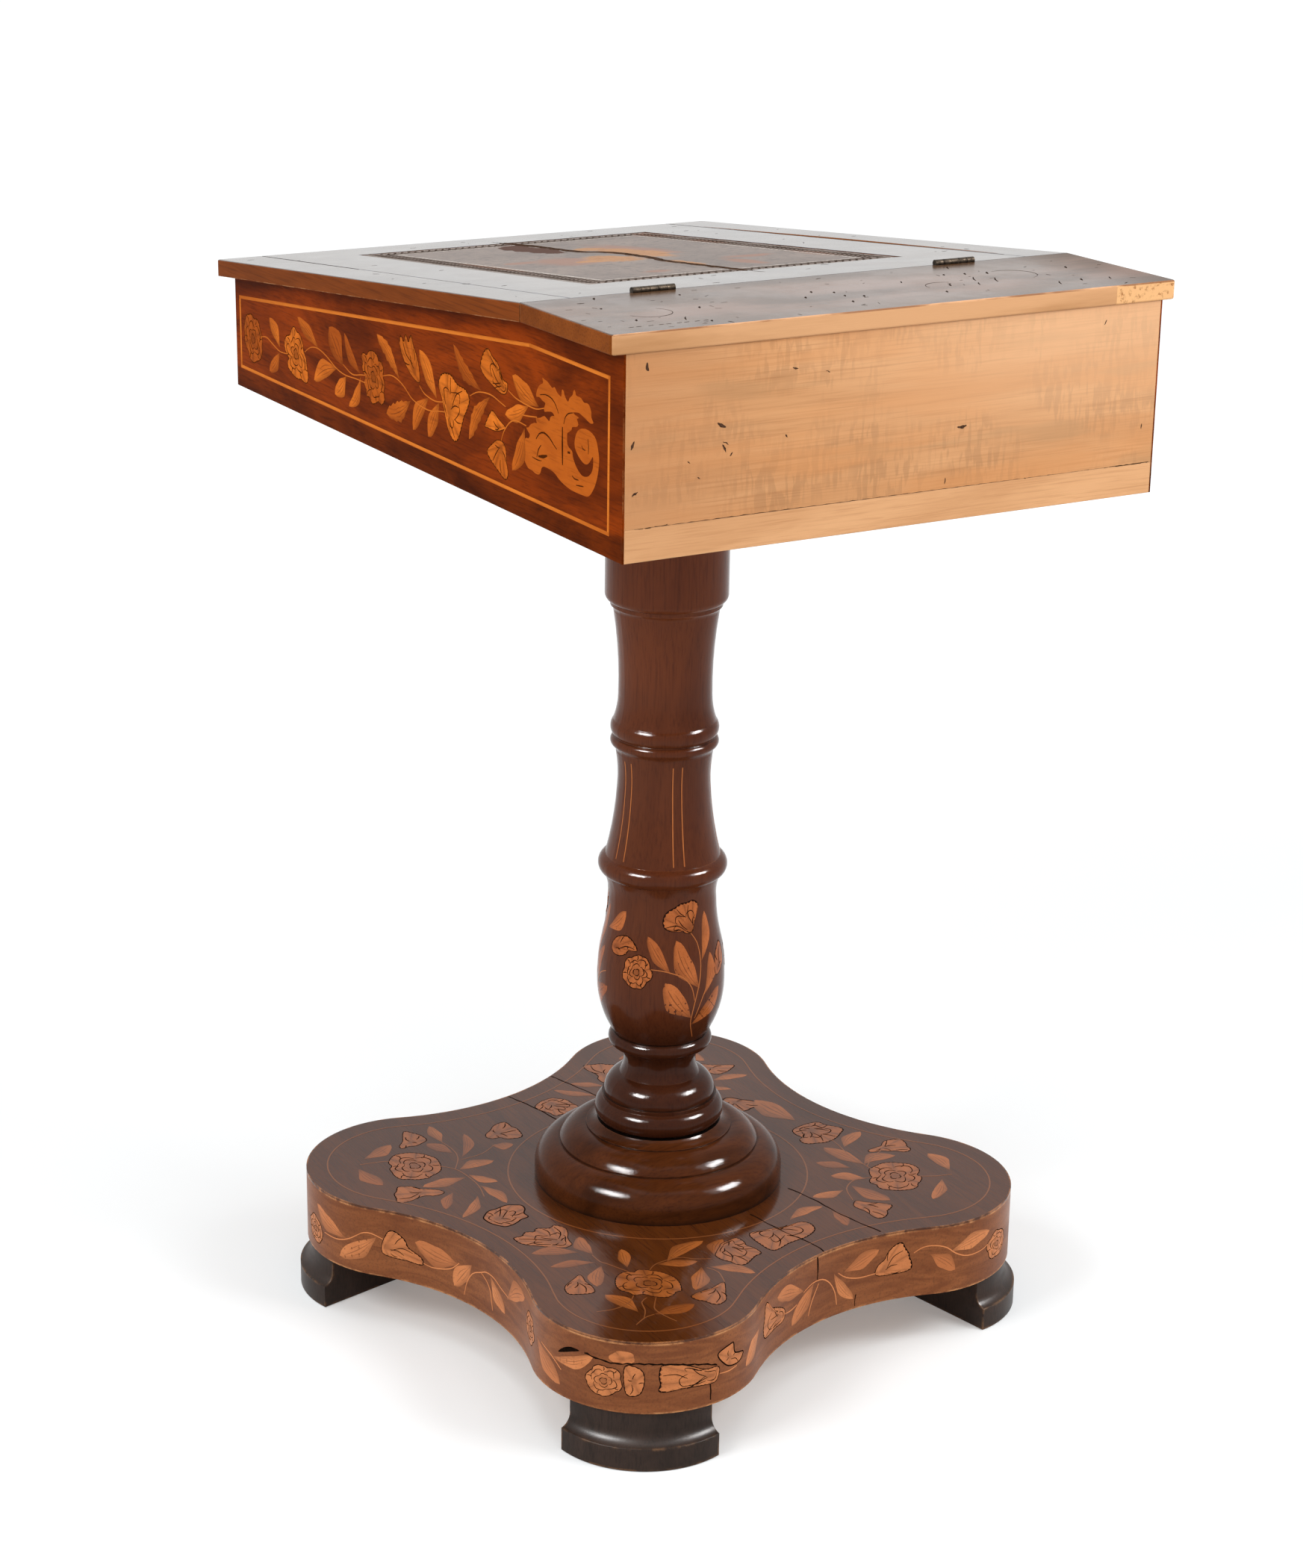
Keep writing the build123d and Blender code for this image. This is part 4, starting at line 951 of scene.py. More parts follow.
def lay_filled(sheet, outline, tone):
    """A piece of any outline, filled flat."""
    line = flowing(outline, 1.2, closed=True)
    first = len(sheet["points"])
    sheet["points"].extend(tuple(point) for point in line)
    sheet["lifts"].extend([0.05] * len(line))
    for corners in tessellate_polygon([[point.to_3d() for point in line]]):
        a, b, c = (line[corner] for corner in corners)
        corners = corners if (b - a).cross(c - a) > 0.0 else corners[::-1]
        sheet["faces"].append([first + corner for corner in corners])
        sheet["drawn"].append([(0.95, 0.5)] * 3)
        sheet["kinds"].append(PETAL)
        sheet["tones"].append(tone)


for side, side_name in ((1.0, "right"), (-1.0, "left")):
    panel_sheet = new_sheet()
    for leaf in panel_leaves:
        lay_leaf(panel_sheet, *leaf)
    for stem in panel_stems:
        lay_line(panel_sheet, stem, 0.9, taper=0.3, tone=0.2)
    for (outline, centre, petals), tone in zip(panel_roses, (0.15, 0.8, 0.3)):
        lay_rose(panel_sheet, outline, centre, petals, tone, 0.8)
    lay_bloom(panel_sheet, panel_bud, (15, 706), 6, 0.5, 0.9)
    for (outline, heart, petals), tone in zip(panel_flowers, (0.9, 0.65, 1.0, 0.6)):
        lay_bloom(panel_sheet, outline, heart, petals, tone, 0.8)
    lay_filled(panel_sheet, scroll_outline, 0.35)
    for cut, wide in scroll_cuts:
        lay_line(panel_sheet, cut, wide, level=0.1, kind=GAP, taper=0.5)
    for start, end in zip(margin_corners, margin_corners[1:]):
        run = (Vector(end) - Vector(start)).normalized() * 1.1
        lay_line(panel_sheet, [Vector(start) - run, Vector(end) + run], 2.3, level=0.07, step=60.0)

    def on_panel(y, z):
        """A place on this side of the case."""
        return Vector((veneer_face * side, y * mm, z * mm)), Vector((side, 0.0, 0.0))

    set_in("side_inlay_" + side_name, panel_sheet, on_panel, "side_veneer_" + side_name,
           [*panel_finishes, panel_gap])

# Back
# A pale board left bare, with its bottom rail butted under it. It has a faint ripple, dark nicks near one
# edge and a split in the rail's end.

back_wood = wood("back_board", (0.78, 0.412, 0.194), (0.55, 0.256, 0.104), (0.41, 0.175, 0.065), 0, 0.5,
                 figure=16.0, drawn=9.0, pores=0.15, worn=(0.50, 0.27, 0.13), shine=0.12)
tree, shader, colour = opened(back_wood)
place, axes = own_place(tree)
crossing = node(tree, "ShaderNodeMapping", {"Vector": place, "Scale": (1.0, 1.0, 0.22)}).outputs["Vector"]
ripple = times(tree, ramp(tree, noise(tree, crossing, 380.0, 1.0, 0.4, 0.3), 0.42, 0.60),
               ramp(tree, noise(tree, place, 17.0, 3.0, 0.6), 0.40, 0.58, 0.0, 0.34))
streaked = ramp(tree, noise(tree, stretched(tree, 0, 7.0), 42.0, 3.0, 0.55), 0.40, 0.62, 0.0, 0.5)
smoky = ramp(tree, noise(tree, stretched(tree, 0, 6.0, 3.7), 60.0, 2.0, 0.5), 0.55, 0.70, 0.0, 0.45)
# A painted sheen: the board is lighter high up towards its -X end.
painted_sheen = times(tree, ramp(tree, axes["X"], 0.12, -0.14), ramp(tree, axes["Z"], 0.66, 0.76))
# The board is darker towards its +X end.
plus_x_end = ramp(tree, axes["X"], 0.06, 0.19)
rail_grain = ramp(tree, noise(tree, stretched(tree, 0, 30.0), 260.0, 3.0, 0.6), 0.35, 0.65)
rail_dirt = ramp(tree, noise(tree, place, 60.0, 5.0, 0.7), 0.55, 0.75, 0.0, 0.5)
rail = tint(tree, rail_grain, (0.64, 0.335, 0.140), (0.40, 0.190, 0.070))
rail = tint(tree, rail_dirt, rail, (0.30, 0.15, 0.07))
below_joint = ramp(tree, axes["Z"], 0.6643, 0.6637)
for amount, stain in (
        (ripple, (0.33, 0.165, 0.075)), (streaked, (0.66, 0.285, 0.105)), (smoky, (0.46, 0.25, 0.115)),
        (times(tree, painted_sheen, 0.55), (0.86, 0.51, 0.29)), (times(tree, plus_x_end, 0.45), (0.50, 0.225, 0.095)),
        (below_joint, rail)):
    colour = tint(tree, amount, colour, stain)
tree.links.new(colour, shader.inputs["Base Color"])
finish_nodes(back_wood, ["case_back"])

back_face = 0.2855
nicks = [
    (178.5, 759, 1, 5, 2.6), (128, 720, -6, -3, 2.4), (125, 709, 4, 2, 0.8), (126, 706, -2, -5, 1.6),
    (121, 702, 2, -2, 1.2), (188, 714, 2, -5, 2.0), (186, 685, 4, -2, 1.6), (177, 661, 3, -5, 3.4),
    (168, 664.5, -9, 0.3, 0.9), (78, 749, -4, -1, 1.2), (-44, 702, -7, 0.5, 2.2), (-33, 669, 0, -4, 0.9),
    (-94, 660, 1, 2, 1.4), (-183.5, 688, 0, 3.2, 1.1), (83, 709, 1, 2, 1.2), (-150, 757, 2, -3, 0.8),
    (55, 745, 3, 1, 0.7), (143, 690, 2, 1, 0.8), (150, 700, 2, 1, 0.7),
]
back_marks = new_sheet()
lay_line(back_marks, [(186, 663.8), (120, 664.1), (40, 664.0), (-60, 663.9), (-190, 663.4)], 0.5, level=0.05,
         ragged=0.2)
lay_line(back_marks, [(-160, 654.6), (-172, 653.4), (-184, 652.4), (-191, 651.6)], 1.3, level=0.06,
         taper=0.85, ragged=0.15)
for x, z, dx, dz, wide in nicks:
    nick = [(x - 0.5 * dx, z - 0.5 * dz), (x + 0.08 * dz, z + 0.08 * dx), (x + 0.5 * dx, z + 0.5 * dz)]
    lay_line(back_marks, nick, wide, level=0.06, taper=0.8, step=1.0, ragged=0.2)


def on_back(x, z):
    """A place on the back board."""
    return Vector((x * mm, back_face, z * mm)), Vector((0.0, 1.0, 0.0))


set_in("back_marks", back_marks, on_back, "case_back", [open_gap("nicks", (0.10, 0.050, 0.030))])

# Top
# The level strip and the sloping lid are mahogany, the lid with edge boards tongued across its ends. Both are
# varnished on their upper faces and scratched; the varnish has bloomed along the strip, whose back is bare.

lid_joint, top_level, lid_slope = 0.1755, 0.7795, 0.09956


def varnished(material, slope, darkening, least_polish, most_polish, dull_end, roughness):
    """Old varnish on the upper face only, which darkens it, is worn in smudges and is dull at the far end."""
    tree, shader, colour = opened(material)
    place, axes = own_place(tree)
    rise = times(tree, arithmetic(tree, "SUBTRACT", axes["Y"], lid_joint), slope)
    below = arithmetic(tree, "SUBTRACT", axes["Z"], arithmetic(tree, "ADD", rise, top_level))
    above = ramp(tree, below, -0.0007, -0.0002)
    darkened = tint(tree, 1.0, colour, darkening, "MULTIPLY")
    tree.links.new(tint(tree, above, colour, darkened), shader.inputs["Base Color"])
    smudge = ramp(tree, noise(tree, place, 24.0, 4.0, 0.6), 0.35, 0.68, least_polish, most_polish)
    far_end = ramp(tree, axes["X"], -0.20, -0.135, dull_end, 1.0)
    tree.links.new(times(tree, times(tree, above, smudge), far_end), shader.inputs["Coat Weight"])
    shader.inputs["Coat Roughness"].default_value = roughness


lid_mahogany = wood("lid_mahogany", (0.235, 0.055, 0.009), (0.14, 0.032, 0.005), (0.06, 0.014, 0.003), 1,
                    0.34, figure=20.0, drawn=7.0, pores=0.3, worn=(0.42, 0.19, 0.08), shine=0.01)
varnished(lid_mahogany, lid_slope, (0.26, 0.64, 1.9), 0.93, 1.0, 1.0, 0.17)
lid_mahogany.node_tree.nodes["Principled BSDF"].inputs["Coat IOR"].default_value = 1.62
finish_nodes(lid_mahogany, ["lid_board_left", "lid_board_right", "lid_edge_left", "lid_edge_right"])
strip_mahogany = wood("strip_mahogany", (0.25, 0.066, 0.011), (0.15, 0.038, 0.007), (0.06, 0.014, 0.004), 0,
                      0.34, figure=20.0, drawn=7.0, pores=0.3, worn=(0.42, 0.19, 0.08), shine=0.01)
varnished(strip_mahogany, 0.0, (0.36, 0.68, 1.7), 0.76, 0.96, 0.4, 0.2)
tree, shader, colour = opened(strip_mahogany)
place, axes = own_place(tree)
bloomed = times(tree, ramp(tree, axes["Z"], 0.7788, 0.7793),
                ramp(tree, noise(tree, stretched(tree, 0, 2.5), 22.0, 3.0, 0.6), 0.35, 0.65, 0.0, 0.75))
in_the_middle = times(tree, ramp(tree, axes["Y"], 0.182, 0.205), ramp(tree, axes["Y"], 0.283, 0.255))
colour = tint(tree, times(tree, bloomed, in_the_middle), colour, (0.175, 0.098, 0.068))
pale_grain = ramp(tree, noise(tree, stretched(tree, 0, 8.0), 60.0, 4.0), 0.35, 0.7)
pale_edge = tint(tree, pale_grain, (0.70, 0.375, 0.185), (0.52, 0.26, 0.115))
patched = ramp(tree, axes["X"], -0.1563, -0.1567)
speckled = ramp(tree, noise(tree, place, 330.0, 4.0, 0.7), 0.52, 0.68)
pale_edge = tint(tree, patched, pale_edge, tint(tree, speckled, (0.84, 0.47, 0.215), (0.42, 0.18, 0.065)))
arris = times(tree, ramp(tree, axes["Z"], 0.7782, 0.7790),
              ramp(tree, noise(tree, stretched(tree, 0, 4.0), 90.0, 4.0), 0.40, 0.60, 0.25, 0.95))
pale_edge = tint(tree, arris, pale_edge, (0.22, 0.085, 0.030))
bare_back = ramp(tree, axes["Y"], 0.2857, 0.2860)
tree.links.new(tint(tree, bare_back, colour, pale_edge), shader.inputs["Base Color"])
finish_nodes(strip_mahogany, ["rear_strip"])


def on_lid(x, y):
    """A place on the lid's upper face."""
    return (Vector((x * mm, y * mm, top_level + (y * mm - lid_joint) * lid_slope)),
            Vector((0.0, -lid_slope, 1.0)).normalized())


def on_strip(x, y):
    """A place on the strip's upper face."""
    return Vector((x * mm, y * mm, top_level)), flat_up


CRACK, DIRT_AND_SHADE = range(2)
split_wood = open_gap("split_wood", (0.220, 0.082, 0.030))
# Dark dirt in scratches and joints; the same finish is painted shadow in the leather's split.
dirt_and_split_shade = open_gap("scratch_dirt_and_split_shade", (0.040, 0.028, 0.022))
strip_dents = [
    (157, 184, 6), (169, 214, 3), (168, 254, 5), (139, 261, 9), (129, 274, 4), (104, 195, 3), (114, 235, 5),
    (27, 222, 5), (15, 229, 4), (15, 241, 4), (40, 236, 5), (21, 259, 5), (5, 247, 5), (-49, 257, 5),
    (-64, 239, 6), (-83, 243, 8), (-95, 211, 5), (-81, 208, 4), (-168, 219, 6), (-98, 188, 8), (-90, 228, 12),
    (-101, 236, 13), (-110, 214, 6), (-131, 262, 9), (-150, 259, 6), (-170, 262, 7),
]
lid_marks, strip_marks = new_sheet(), new_sheet()
lay_line(lid_marks, [(-172.2, -235), (-172.0, -150), (-172.4, -40), (-172.0, 140)], 7.0, level=0.03,
         kind=CRACK, taper=0.95, step=8.0)
for joint, wide, taper, ragged in (
        ([(-169.3, -280), (-169.2, -100), (-169.4, 150)], 0.5, 0.0, 0.1),
        ([(169.5, -283), (169.2, -200), (169.4, -120)], 1.1, 0.8, 0.1),
        ([(0, 104), (1, 114), (0, 126)], 0.9, 0.9, 0.2),
        ([(2, -248), (1, -238), (0, -228)], 0.9, 0.9, 0.2)):
    lay_line(lid_marks, joint, wide, level=0.05, kind=DIRT_AND_SHADE, taper=taper, ragged=ragged)
for x, y, size in strip_dents:
    dent = [(x - 0.25 * size, y - 0.45 * size), (x + 0.05 * size, y), (x + 0.25 * size, y + 0.5 * size)]
    lay_line(strip_marks, dent, 1.6 if size < 7 else 1.0, level=0.05, kind=DIRT_AND_SHADE, taper=0.6)
for x in (183, 178, 170, 163, 158, 151, 146, 139, 133):
    lay_line(strip_marks, [(x, 271.4), (x - 3.2, 271.1)], 1.0, level=0.05, kind=DIRT_AND_SHADE, taper=0.5)
chance = random.Random(7)
for mark in range(120):
    on_the_lid = mark % 2 == 0
    x = chance.uniform(-195.0, 195.0)
    y = chance.uniform(-280.0, 168.0) if on_the_lid else chance.uniform(184.0, 281.0)
    if on_the_lid and abs(x) < 124.0 and -236.0 < y < 114.0:
        continue
    length = chance.uniform(1.2, 5.5)
    angle = chance.uniform(-0.6, 0.6) + (0.0 if chance.random() < 0.6 else 1.5)
    start = Vector((x, y))
    run = Vector((math.cos(angle), math.sin(angle))) * length
    marked = lid_marks if on_the_lid else strip_marks
    lay_line(marked, [start, start + run], chance.uniform(0.7, 1.3), level=0.05, kind=DIRT_AND_SHADE, taper=0.7)
for centre_x, centre_y, radius, first, sweep in ((150, 236, 15, 0.3, 3.6), (-120, 226, 17, 2.0, 3.0),
                                                 (-60, 240, 13, 4.0, 2.4)):
    angles = [first + sweep * step / 10 for step in range(11)]
    arc = [(centre_x + radius * math.cos(angle), centre_y + 0.9 * radius * math.sin(angle))
           for angle in angles]
    lay_line(strip_marks, arc, 0.6, level=0.05, kind=DIRT_AND_SHADE, taper=0.9)
set_in("lid_marks", lid_marks, on_lid, None, [split_wood, dirt_and_split_shade], body="lid")
set_in("strip_marks", strip_marks, on_strip, None, [split_wood, dirt_and_split_shade])

# Leather
# A hide writing surface in two halves of one sheet, glued into a sunk panel of the lid. It has split from
# front to back along the middle joint of the lid, has a blind-tooled border, and is rubbed to tan beside the
# split.

hide_half_width = 117.6
hide_front, hide_back = -229.6, 108.1
sunk = 0.35
split_line = [
    (-232, 1), (-186, -1), (-144, 1), (-112, 0), (-100, -8), (-77, -11), (-60, -10), (-27, -7), (0, -1),
    (50, 0), (109, 1),
]
split_width = [
    (-232, 2.0), (-190, 2.6), (-144, 2.0), (-100, 1.8), (-77, 3.0), (-40, 2.1), (0, 1.6), (109, 1.1),
]
rubbed_spots = {
    "tan": [(-22, -80, 20, 62), (12, -50, 19, 34), (30, -42, 16, 12), (-14, -130, 12, 20), (-4, 20, 8, 30)],
    "orange": [(42, -53, 26, 34), (-33, -100, 19, 62), (-109, -204, 15, 34), (-105, -120, 9, 26),
               (72, -70, 14, 9), (-60, 10, 20, 10), (40, 60, 12, 9), (100, -60, 6, 50), (-100, 30, 7, 34),
               (-36, 44, 8, 30)],
    "raw": [(15, -160, 13, 44), (8, -205, 8, 18)],
}


def along_split(table, y):
    """A value read off a table at a distance from front to back."""
    for (first_y, first), (second_y, second) in zip(table, table[1:]):
        if y <= second_y:
            break
    part = min(1.0, max(0.0, (y - first_y) / (second_y - first_y)))
    return first + (second - first) * part


def spotted(name, x, y):
    """How deep a place lies in any of the rubbed spots of a kind."""
    return max(1.3 - math.hypot((x - spot[0]) / spot[2], (y - spot[1]) / spot[3])
               for spot in rubbed_spots[name])


hide_points, hide_faces = [], []
rubs_and_shade = {"tan": [], "orange": [], "raw": [], "lip": []}
hide_rows, hide_columns = 226, 72
for half in (-1.0, 1.0):
    first = len(hide_points)
    for row in range(hide_rows + 1):
        y = hide_front + (hide_back - hide_front) * row / hide_rows
        ragged_edge = 0.35 * math.sin(y * 0.9) + 0.25 * math.sin(y * 2.3 + half) + 0.2 * math.sin(y * 4.1)
        inner = along_split(split_line, y) + half * 0.5 * along_split(split_width, y) + ragged_edge
        for column in range(hide_columns + 1):
            t = (column / hide_columns) ** 0.8
            x = half * hide_half_width + (inner - half * hide_half_width) * t
            from_split = abs(x - inner)
            from_edge = min(hide_half_width - abs(x), y - hide_front, hide_back - y)
            height = 0.06 * math.sin(x * 0.11 + 1.0) * math.sin(y * 0.07)
            height += 0.03 * math.sin(x * 0.31) * math.sin(y * 0.23 + 2.0)
            height += 0.42 * math.exp(-from_split / 2.6) * (0.75 + 0.25 * math.sin(y * 0.35 + half))
            height -= 0.25 * math.exp(-max(from_edge, 0.0) / 0.9)
            for line_at in (3.0, 4.6, 18.8, 21.6):
                height -= 0.12 * math.exp(-((from_edge - line_at) / 0.55) ** 2)
            place, out = on_lid(x, y)
            hide_points.append(place + out * ((height - sunk) * mm))
            rubs_and_shade["tan"].append(spotted("tan", x, y))
            rubs_and_shade["orange"].append(spotted("orange", x, y))
            rubs_and_shade["raw"].append(spotted("raw", x, y) if x > along_split(split_line, y) else -1.0)
            rubs_and_shade["lip"].append(1.0 - from_split / 3.2)
    for row in range(hide_rows):
        for column in range(hide_columns):
            corner = first + row * (hide_columns + 1) + column
            face = [corner, corner + 1, corner + hide_columns + 2, corner + hide_columns + 1]
            hide_faces.append(face if half < 0.0 else face[::-1])
hide_mesh = bpy.data.meshes.new("writing_hide")
hide_mesh.from_pydata(hide_points, [], hide_faces)
for name, amounts in rubs_and_shade.items():
    hide_mesh.attributes.new(name, "FLOAT", "POINT").data.foreach_set("value", amounts)
hide = set_down("writing_hide", hide_mesh)
thickened(hide, 0.00055, 40.0)

hide_leather, tree, shader = new_finish("worn_hide")
place, axes = own_place(tree)
side_distance = arithmetic(tree, "SUBTRACT", 0.118, arithmetic(tree, "ABSOLUTE", axes["X"]))
from_centre = arithmetic(tree, "ABSOLUTE", arithmetic(tree, "ADD", axes["Y"], 0.0607))
rim_distance = arithmetic(tree, "MINIMUM", side_distance, arithmetic(tree, "SUBTRACT", 0.1693, from_centre))
border = times(tree, ramp(tree, rim_distance, 0.0045, 0.0052), ramp(tree, rim_distance, 0.0190, 0.0182))
lattice = 1.0
for sign in (1.0, -1.0):
    slanted = arithmetic(tree, "ADD", axes["X"], times(tree, axes["Y"], sign))
    lattice = times(tree, lattice, arithmetic(tree, "SINE", times(tree, slanted, math.tau / 0.0052)))
stamped = times(tree, border, ramp(tree, lattice, -0.1, 0.35))
uneven = times(tree, noise(tree, place, 55.0, 6.0, 0.65), 1.4)
fine_noise = noise(tree, place, 170.0, 5.0, 0.7)
broad_noise = noise(tree, place, 16.0, 3.0, 0.6)
pebble = node(tree, "ShaderNodeTexVoronoi", {"Vector": place, "Scale": 900.0}).outputs["Distance"]


def rubbed_and_shaded(name, low, high):
    """Where the surface is rubbed away, and where painted shade lies on the lip beside the split, each with a
    broken edge.
    """
    amount = node(tree, "ShaderNodeAttribute", attribute_name=name).outputs["Fac"]
    return ramp(tree, arithmetic(tree, "ADD", amount, uneven), low, high)


# The lip beside the split is darkened with painted shade and made rougher.
raw, tan, lip = rubbed_and_shaded("raw", 0.95, 1.1), rubbed_and_shaded("tan", 1.05, 1.35), rubbed_and_shaded("lip", 1.1, 1.5)
colour = tint(tree, ramp(tree, broad_noise, 0.3, 0.7), (0.098, 0.067, 0.051), (0.158, 0.112, 0.087))
for amount, stain in (
        (ramp(tree, fine_noise, 0.50, 0.62, 0.0, 0.85), (0.045, 0.027, 0.020)),
        (times(tree, rubbed_and_shaded("orange", 0.85, 1.45), 0.9), (0.175, 0.062, 0.024)),
        (raw, (0.058, 0.022, 0.012)), (tan, (0.330, 0.170, 0.080)),
        (times(tree, tan, ramp(tree, fine_noise, 0.52, 0.7, 0.0, 0.7)), (0.16, 0.062, 0.028)),
        (times(tree, border, 0.3), (0.130, 0.088, 0.066)),
        (times(tree, stamped, 0.25), (0.030, 0.020, 0.016)),
        # Painted shade: a dark band along the rim of the sunk panel.
        (ramp(tree, rim_distance, 0.0022, 0.0006), (0.015, 0.010, 0.008)), (lip, (0.060, 0.030, 0.017))):
    colour = tint(tree, amount, colour, stain)
tree.links.new(colour, shader.inputs["Base Color"])
dull = arithmetic(tree, "MAXIMUM", times(tree, tan, 0.5), arithmetic(tree, "MAXIMUM", raw, lip))
dull = arithmetic(tree, "MAXIMUM", dull, times(tree, border, 0.4))
tree.links.new(ramp(tree, dull, 0.0, 1.0, 0.40, 0.90), shader.inputs["Roughness"])
shader.inputs["Specular IOR Level"].default_value = 0.29
pressed = node(tree, "ShaderNodeBump", {
    "Strength": 0.6, "Distance": 0.0004, "Height": times(tree, stamped, -1.0),
})
grained = node(tree, "ShaderNodeBump", {
    "Strength": 0.35, "Distance": 0.0002, "Height": pebble, "Normal": pressed.outputs["Normal"],
})
tree.links.new(grained.outputs["Normal"], shader.inputs["Normal"])
hide.data.materials.append(hide_leather)
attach(hide, "lid")
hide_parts("lid_leather")

LINE_HIGHLIGHT, DIRT_AND_SHADE, LIP, STROKE = range(4)
# The pale border line finish is a painted highlight on the ridges of the tooling.
tooling_finishes = [open_gap("border_line", (0.52, 0.47, 0.43)), dirt_and_split_shade,
                    open_gap("split_edge_lines", (0.090, 0.050, 0.030)),
                    open_gap("pressed_stroke", (0.062, 0.044, 0.034))]
tooling = new_sheet()


def on_hide(x, y):
    """A place on the leather."""
    place, out = on_lid(x, y)
    return place - out * (sunk * mm), out


def tool_line(start, end, inset, pitch, lean):
    """A row of short slanting strokes pressed along one side of the border."""
    run = (end - start).normalized()
    inward = Vector((-run.y, run.x))
    for stroke in range(int((end - start).length / pitch)):
        foot = start + run * (stroke + 0.5) * pitch + inward * inset
        if abs(foot.x - along_split(split_line, foot.y)) > 2.5:
            ends = [foot - inward * 2.7 - run * lean, foot + inward * 2.7 + run * lean]
            lay_line(tooling, ends, 1.9, level=0.1, kind=STROKE, taper=0.4)


hide_corners = [Vector((-hide_half_width, hide_front)), Vector((hide_half_width, hide_front)),
                Vector((hide_half_width, hide_back)), Vector((-hide_half_width, hide_back))]
for corner, start in enumerate(hide_corners):
    end = hide_corners[(corner + 1) % 4]
    run = (end - start).normalized()
    inward = Vector((-run.y, run.x))
    for inset, lean in ((8.0, 1.7), (14.8, -1.7)):
        tool_line(start + run * inset, end - run * inset, inset, 5.4, lean)
    # Painted highlights along the ridges between the pressed grooves.
    for inset, wide in ((3.8, 0.6), (20.2, 2.2)):
        first, last = start + run * inset + inward * inset, end - run * inset + inward * inset
        halves = [(first, last)]
        if corner in (0, 2):
            split = Vector((along_split(split_line, first.y), first.y))
            halves = [(first, split - run * 3.0), (split + run * 3.0, last)]
        for half in halves:
            lay_line(tooling, half, wide, level=0.09, kind=LINE_HIGHLIGHT, step=10.0)
# A dark strip laid under the split and seen through its gap: painted shadow.
lay_line(tooling, [(x, y) for y, x in split_line], 4.5, level=-0.25, kind=DIRT_AND_SHADE, step=6.0)
# Dark ragged lines along both edges of the split.
for lip_side in (-1.0, 1.0):
    lip_run = [(x + lip_side * (0.5 * along_split(split_width, y) + 1.1), y) for y, x in split_line]
    lay_line(tooling, lip_run, 1.0, level=0.42, kind=LIP, step=4.0, ragged=0.4)
set_in("tooled_border", tooling, on_hide, None, tooling_finishes, body="lid")

# Hinges
# Two small brass butt hinges let into the strip and the lid, gone brown, with their knuckles standing proud.

brass = metal("hinge_brass", (0.085, 0.064, 0.046), (0.030, 0.023, 0.018), (0.35, 0.65), (0.34, 0.55), 260.0,
              5.0, 0.7)
finish_nodes(brass, ["hinge_strip_leaf_left", "hinge_strip_leaf_right", "hinge_lid_leaf_left",
                     "hinge_lid_leaf_right", "hinge_pin_left", "hinge_pin_right"])

# Floor, lights and camera
# A plain pale floor that glows a little for the camera, soft boxes on both sides and above, two lamps that
# only the polished parts catch, and the camera at the photograph's angle.


def seen_directly(tree):
    """Whether a ray comes from the camera, a reflection or a glass."""
    rays = node(tree, "ShaderNodeLightPath").outputs
    mirrored = arithmetic(tree, "MAXIMUM", rays["Is Glossy Ray"], rays["Is Transmission Ray"])
    return arithmetic(tree, "MAXIMUM", rays["Is Camera Ray"], mirrored)


white = (1.0, 1.0, 1.0, 1.0)
floor_size = 60.0
bpy.ops.mesh.primitive_plane_add(size=floor_size, location=(0.0, 0.0, -0.0005))
floor = bpy.context.object
floor.name = "floor"
floor_paint, tree, _ = new_finish("floor_paint")
tree.nodes.clear()
from_middle = node(tree, "ShaderNodeVectorMath", {0: own_place(tree)[0]}, operation="LENGTH").outputs["Value"]
glow_strength = times(tree, seen_directly(tree), ramp(tree, from_middle, 0.6, 3.0, 0.20, 0.62))
diffuse = node(tree, "ShaderNodeBsdfDiffuse", {"Color": (0.725, 0.745, 0.755, 1.0)})
glow = node(tree, "ShaderNodeEmission", {"Color": white, "Strength": glow_strength})
both = node(tree, "ShaderNodeAddShader", {0: diffuse.outputs[0], 1: glow.outputs[0]})
node(tree, "ShaderNodeOutputMaterial", {"Surface": both.outputs[0]})
floor.data.materials.append(floor_paint)

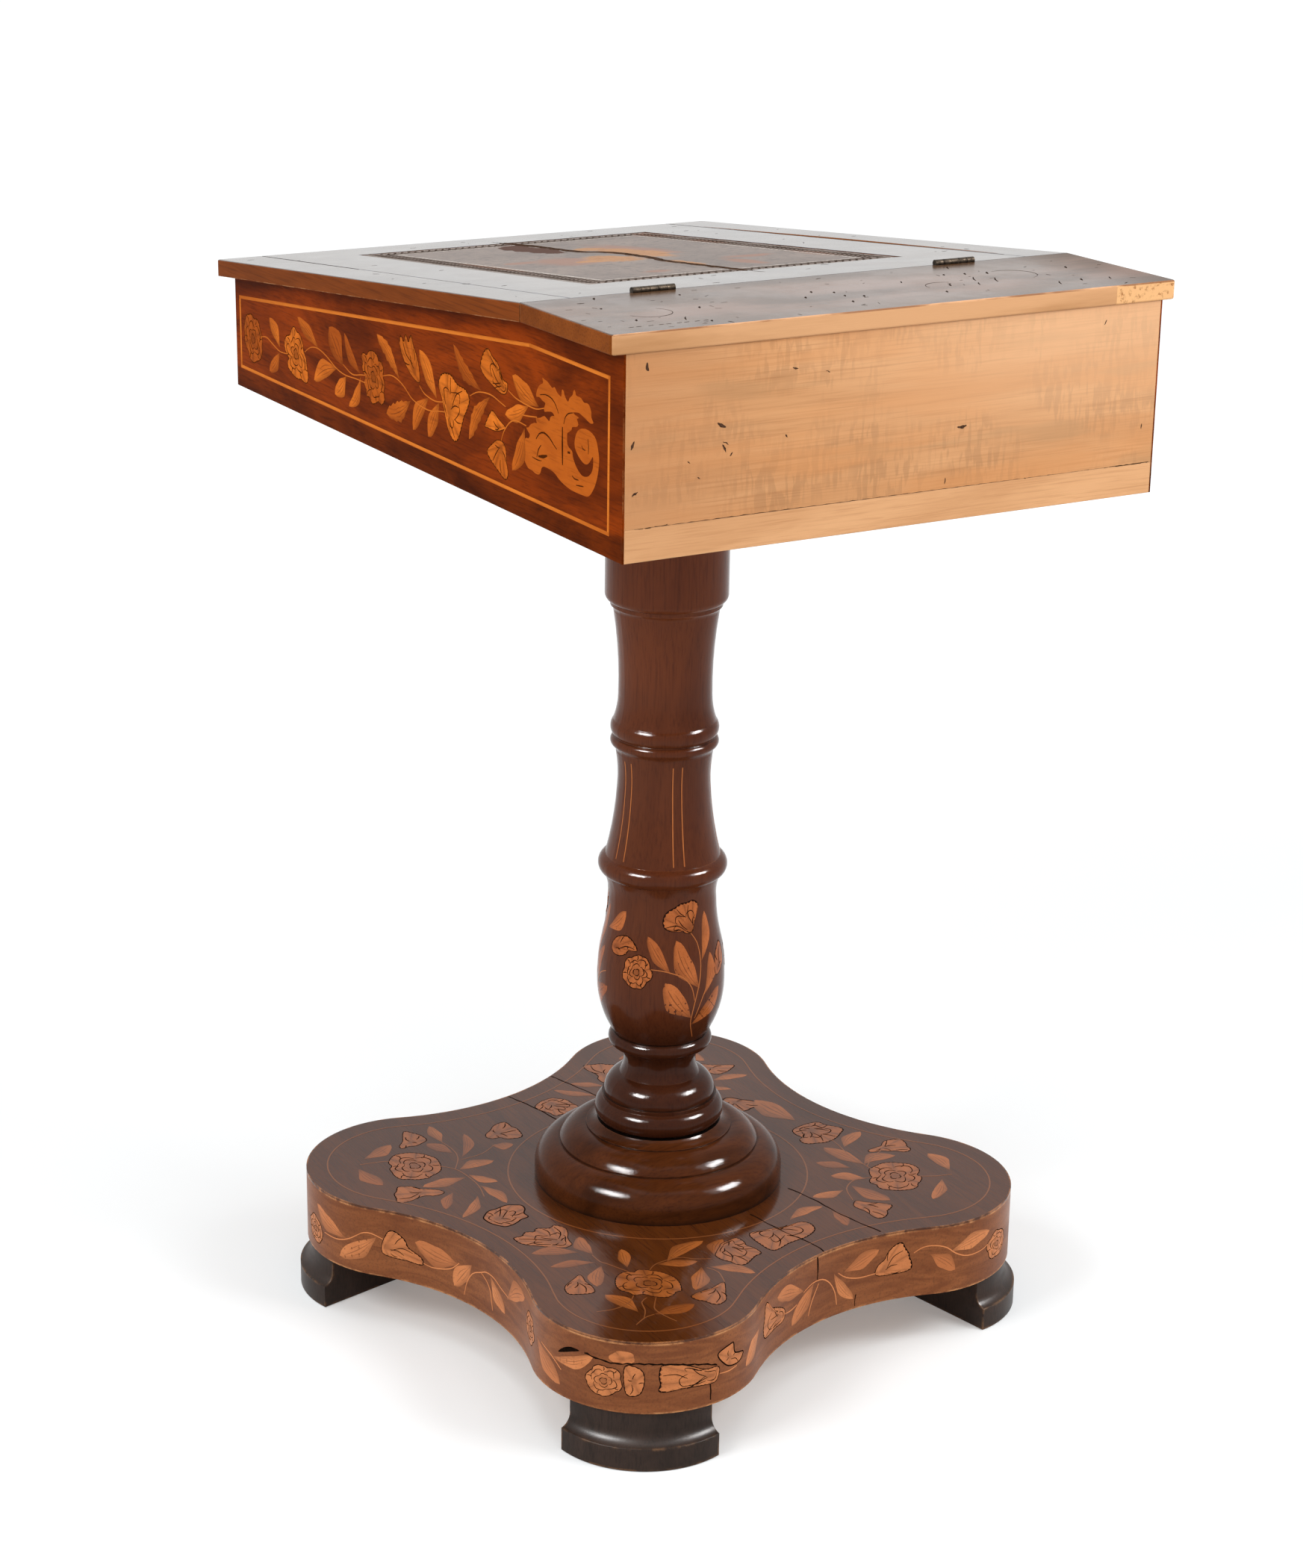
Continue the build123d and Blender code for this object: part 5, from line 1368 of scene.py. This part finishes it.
world = bpy.data.worlds.new("studio")
bpy.context.scene.world = world
world.use_nodes = True
sky = world.node_tree
sky.nodes.clear()
sky_light = ramp(sky, seen_directly(sky), 0.0, 1.0, 0.55, 1.0)
sky_glow = node(sky, "ShaderNodeBackground", {"Color": white, "Strength": sky_light})
node(sky, "ShaderNodeOutputWorld", {"Surface": sky_glow.outputs[0]})

middle = Vector((0.0, 0.0, 0.42))
towards_camera = math.radians(59.6)
lamp_distance = 2.4


def soft_box(name, side, rise, size, power):
    """An area lamp at an angle to the camera's side, looking at the middle of the object."""
    angle = towards_camera + math.radians(side)
    height = math.radians(rise)
    spot = Vector((math.cos(angle) * math.cos(height), math.sin(angle) * math.cos(height), math.sin(height)))
    bpy.ops.object.light_add(type="AREA", location=middle + spot * lamp_distance)
    lamp = bpy.context.object
    lamp.name = name
    lamp.data.shape = "RECTANGLE"
    lamp.data.size, lamp.data.size_y = size
    lamp.data.energy = power
    lamp.rotation_euler = (-spot).to_track_quat("-Z", "Y").to_euler()
    return lamp


soft_box("soft_box_left", -48.0, 38.0, (0.9, 0.9), 26.0)
soft_box("soft_box_right", 70.0, 38.0, (0.9, 0.9), 26.0)
soft_box("soft_box_above", 10.0, 80.0, (2.0, 2.0), 30.0)
polished_parts = bpy.data.collections.new("polished_parts")
for name in ["column_shaft", "column_cap", "pedestal_disc", *feet]:
    polished_parts.objects.link(nodes[name])
for polish_light in (soft_box("polish_light_left", -48.0, 34.0, (0.9, 0.6), 340.0),
                     soft_box("polish_light_right", 80.0, 34.0, (0.8, 0.55), 270.0)):
    polish_light.visible_diffuse = False
    polish_light.light_linking.receiver_collection = polished_parts

camera_place = (1.0901, 1.8484, 1.1305)
camera_turn = math.radians(149.567)
camera_tilt = math.radians(90.0 - 19.015)
camera_roll = math.radians(0.836)
bpy.ops.object.camera_add(location=camera_place)
camera = bpy.context.object
aimed = Matrix.Rotation(camera_turn, 3, "Z") @ Matrix.Rotation(camera_tilt, 3, "X")
camera.rotation_euler = (aimed @ Matrix.Rotation(camera_roll, 3, "Z")).to_euler()
camera.data.sensor_width = 36.0
camera.data.lens = 73.61
camera.data.clip_end = 100.0
bpy.context.scene.camera = camera
bpy.context.scene.view_settings.view_transform = "Standard"
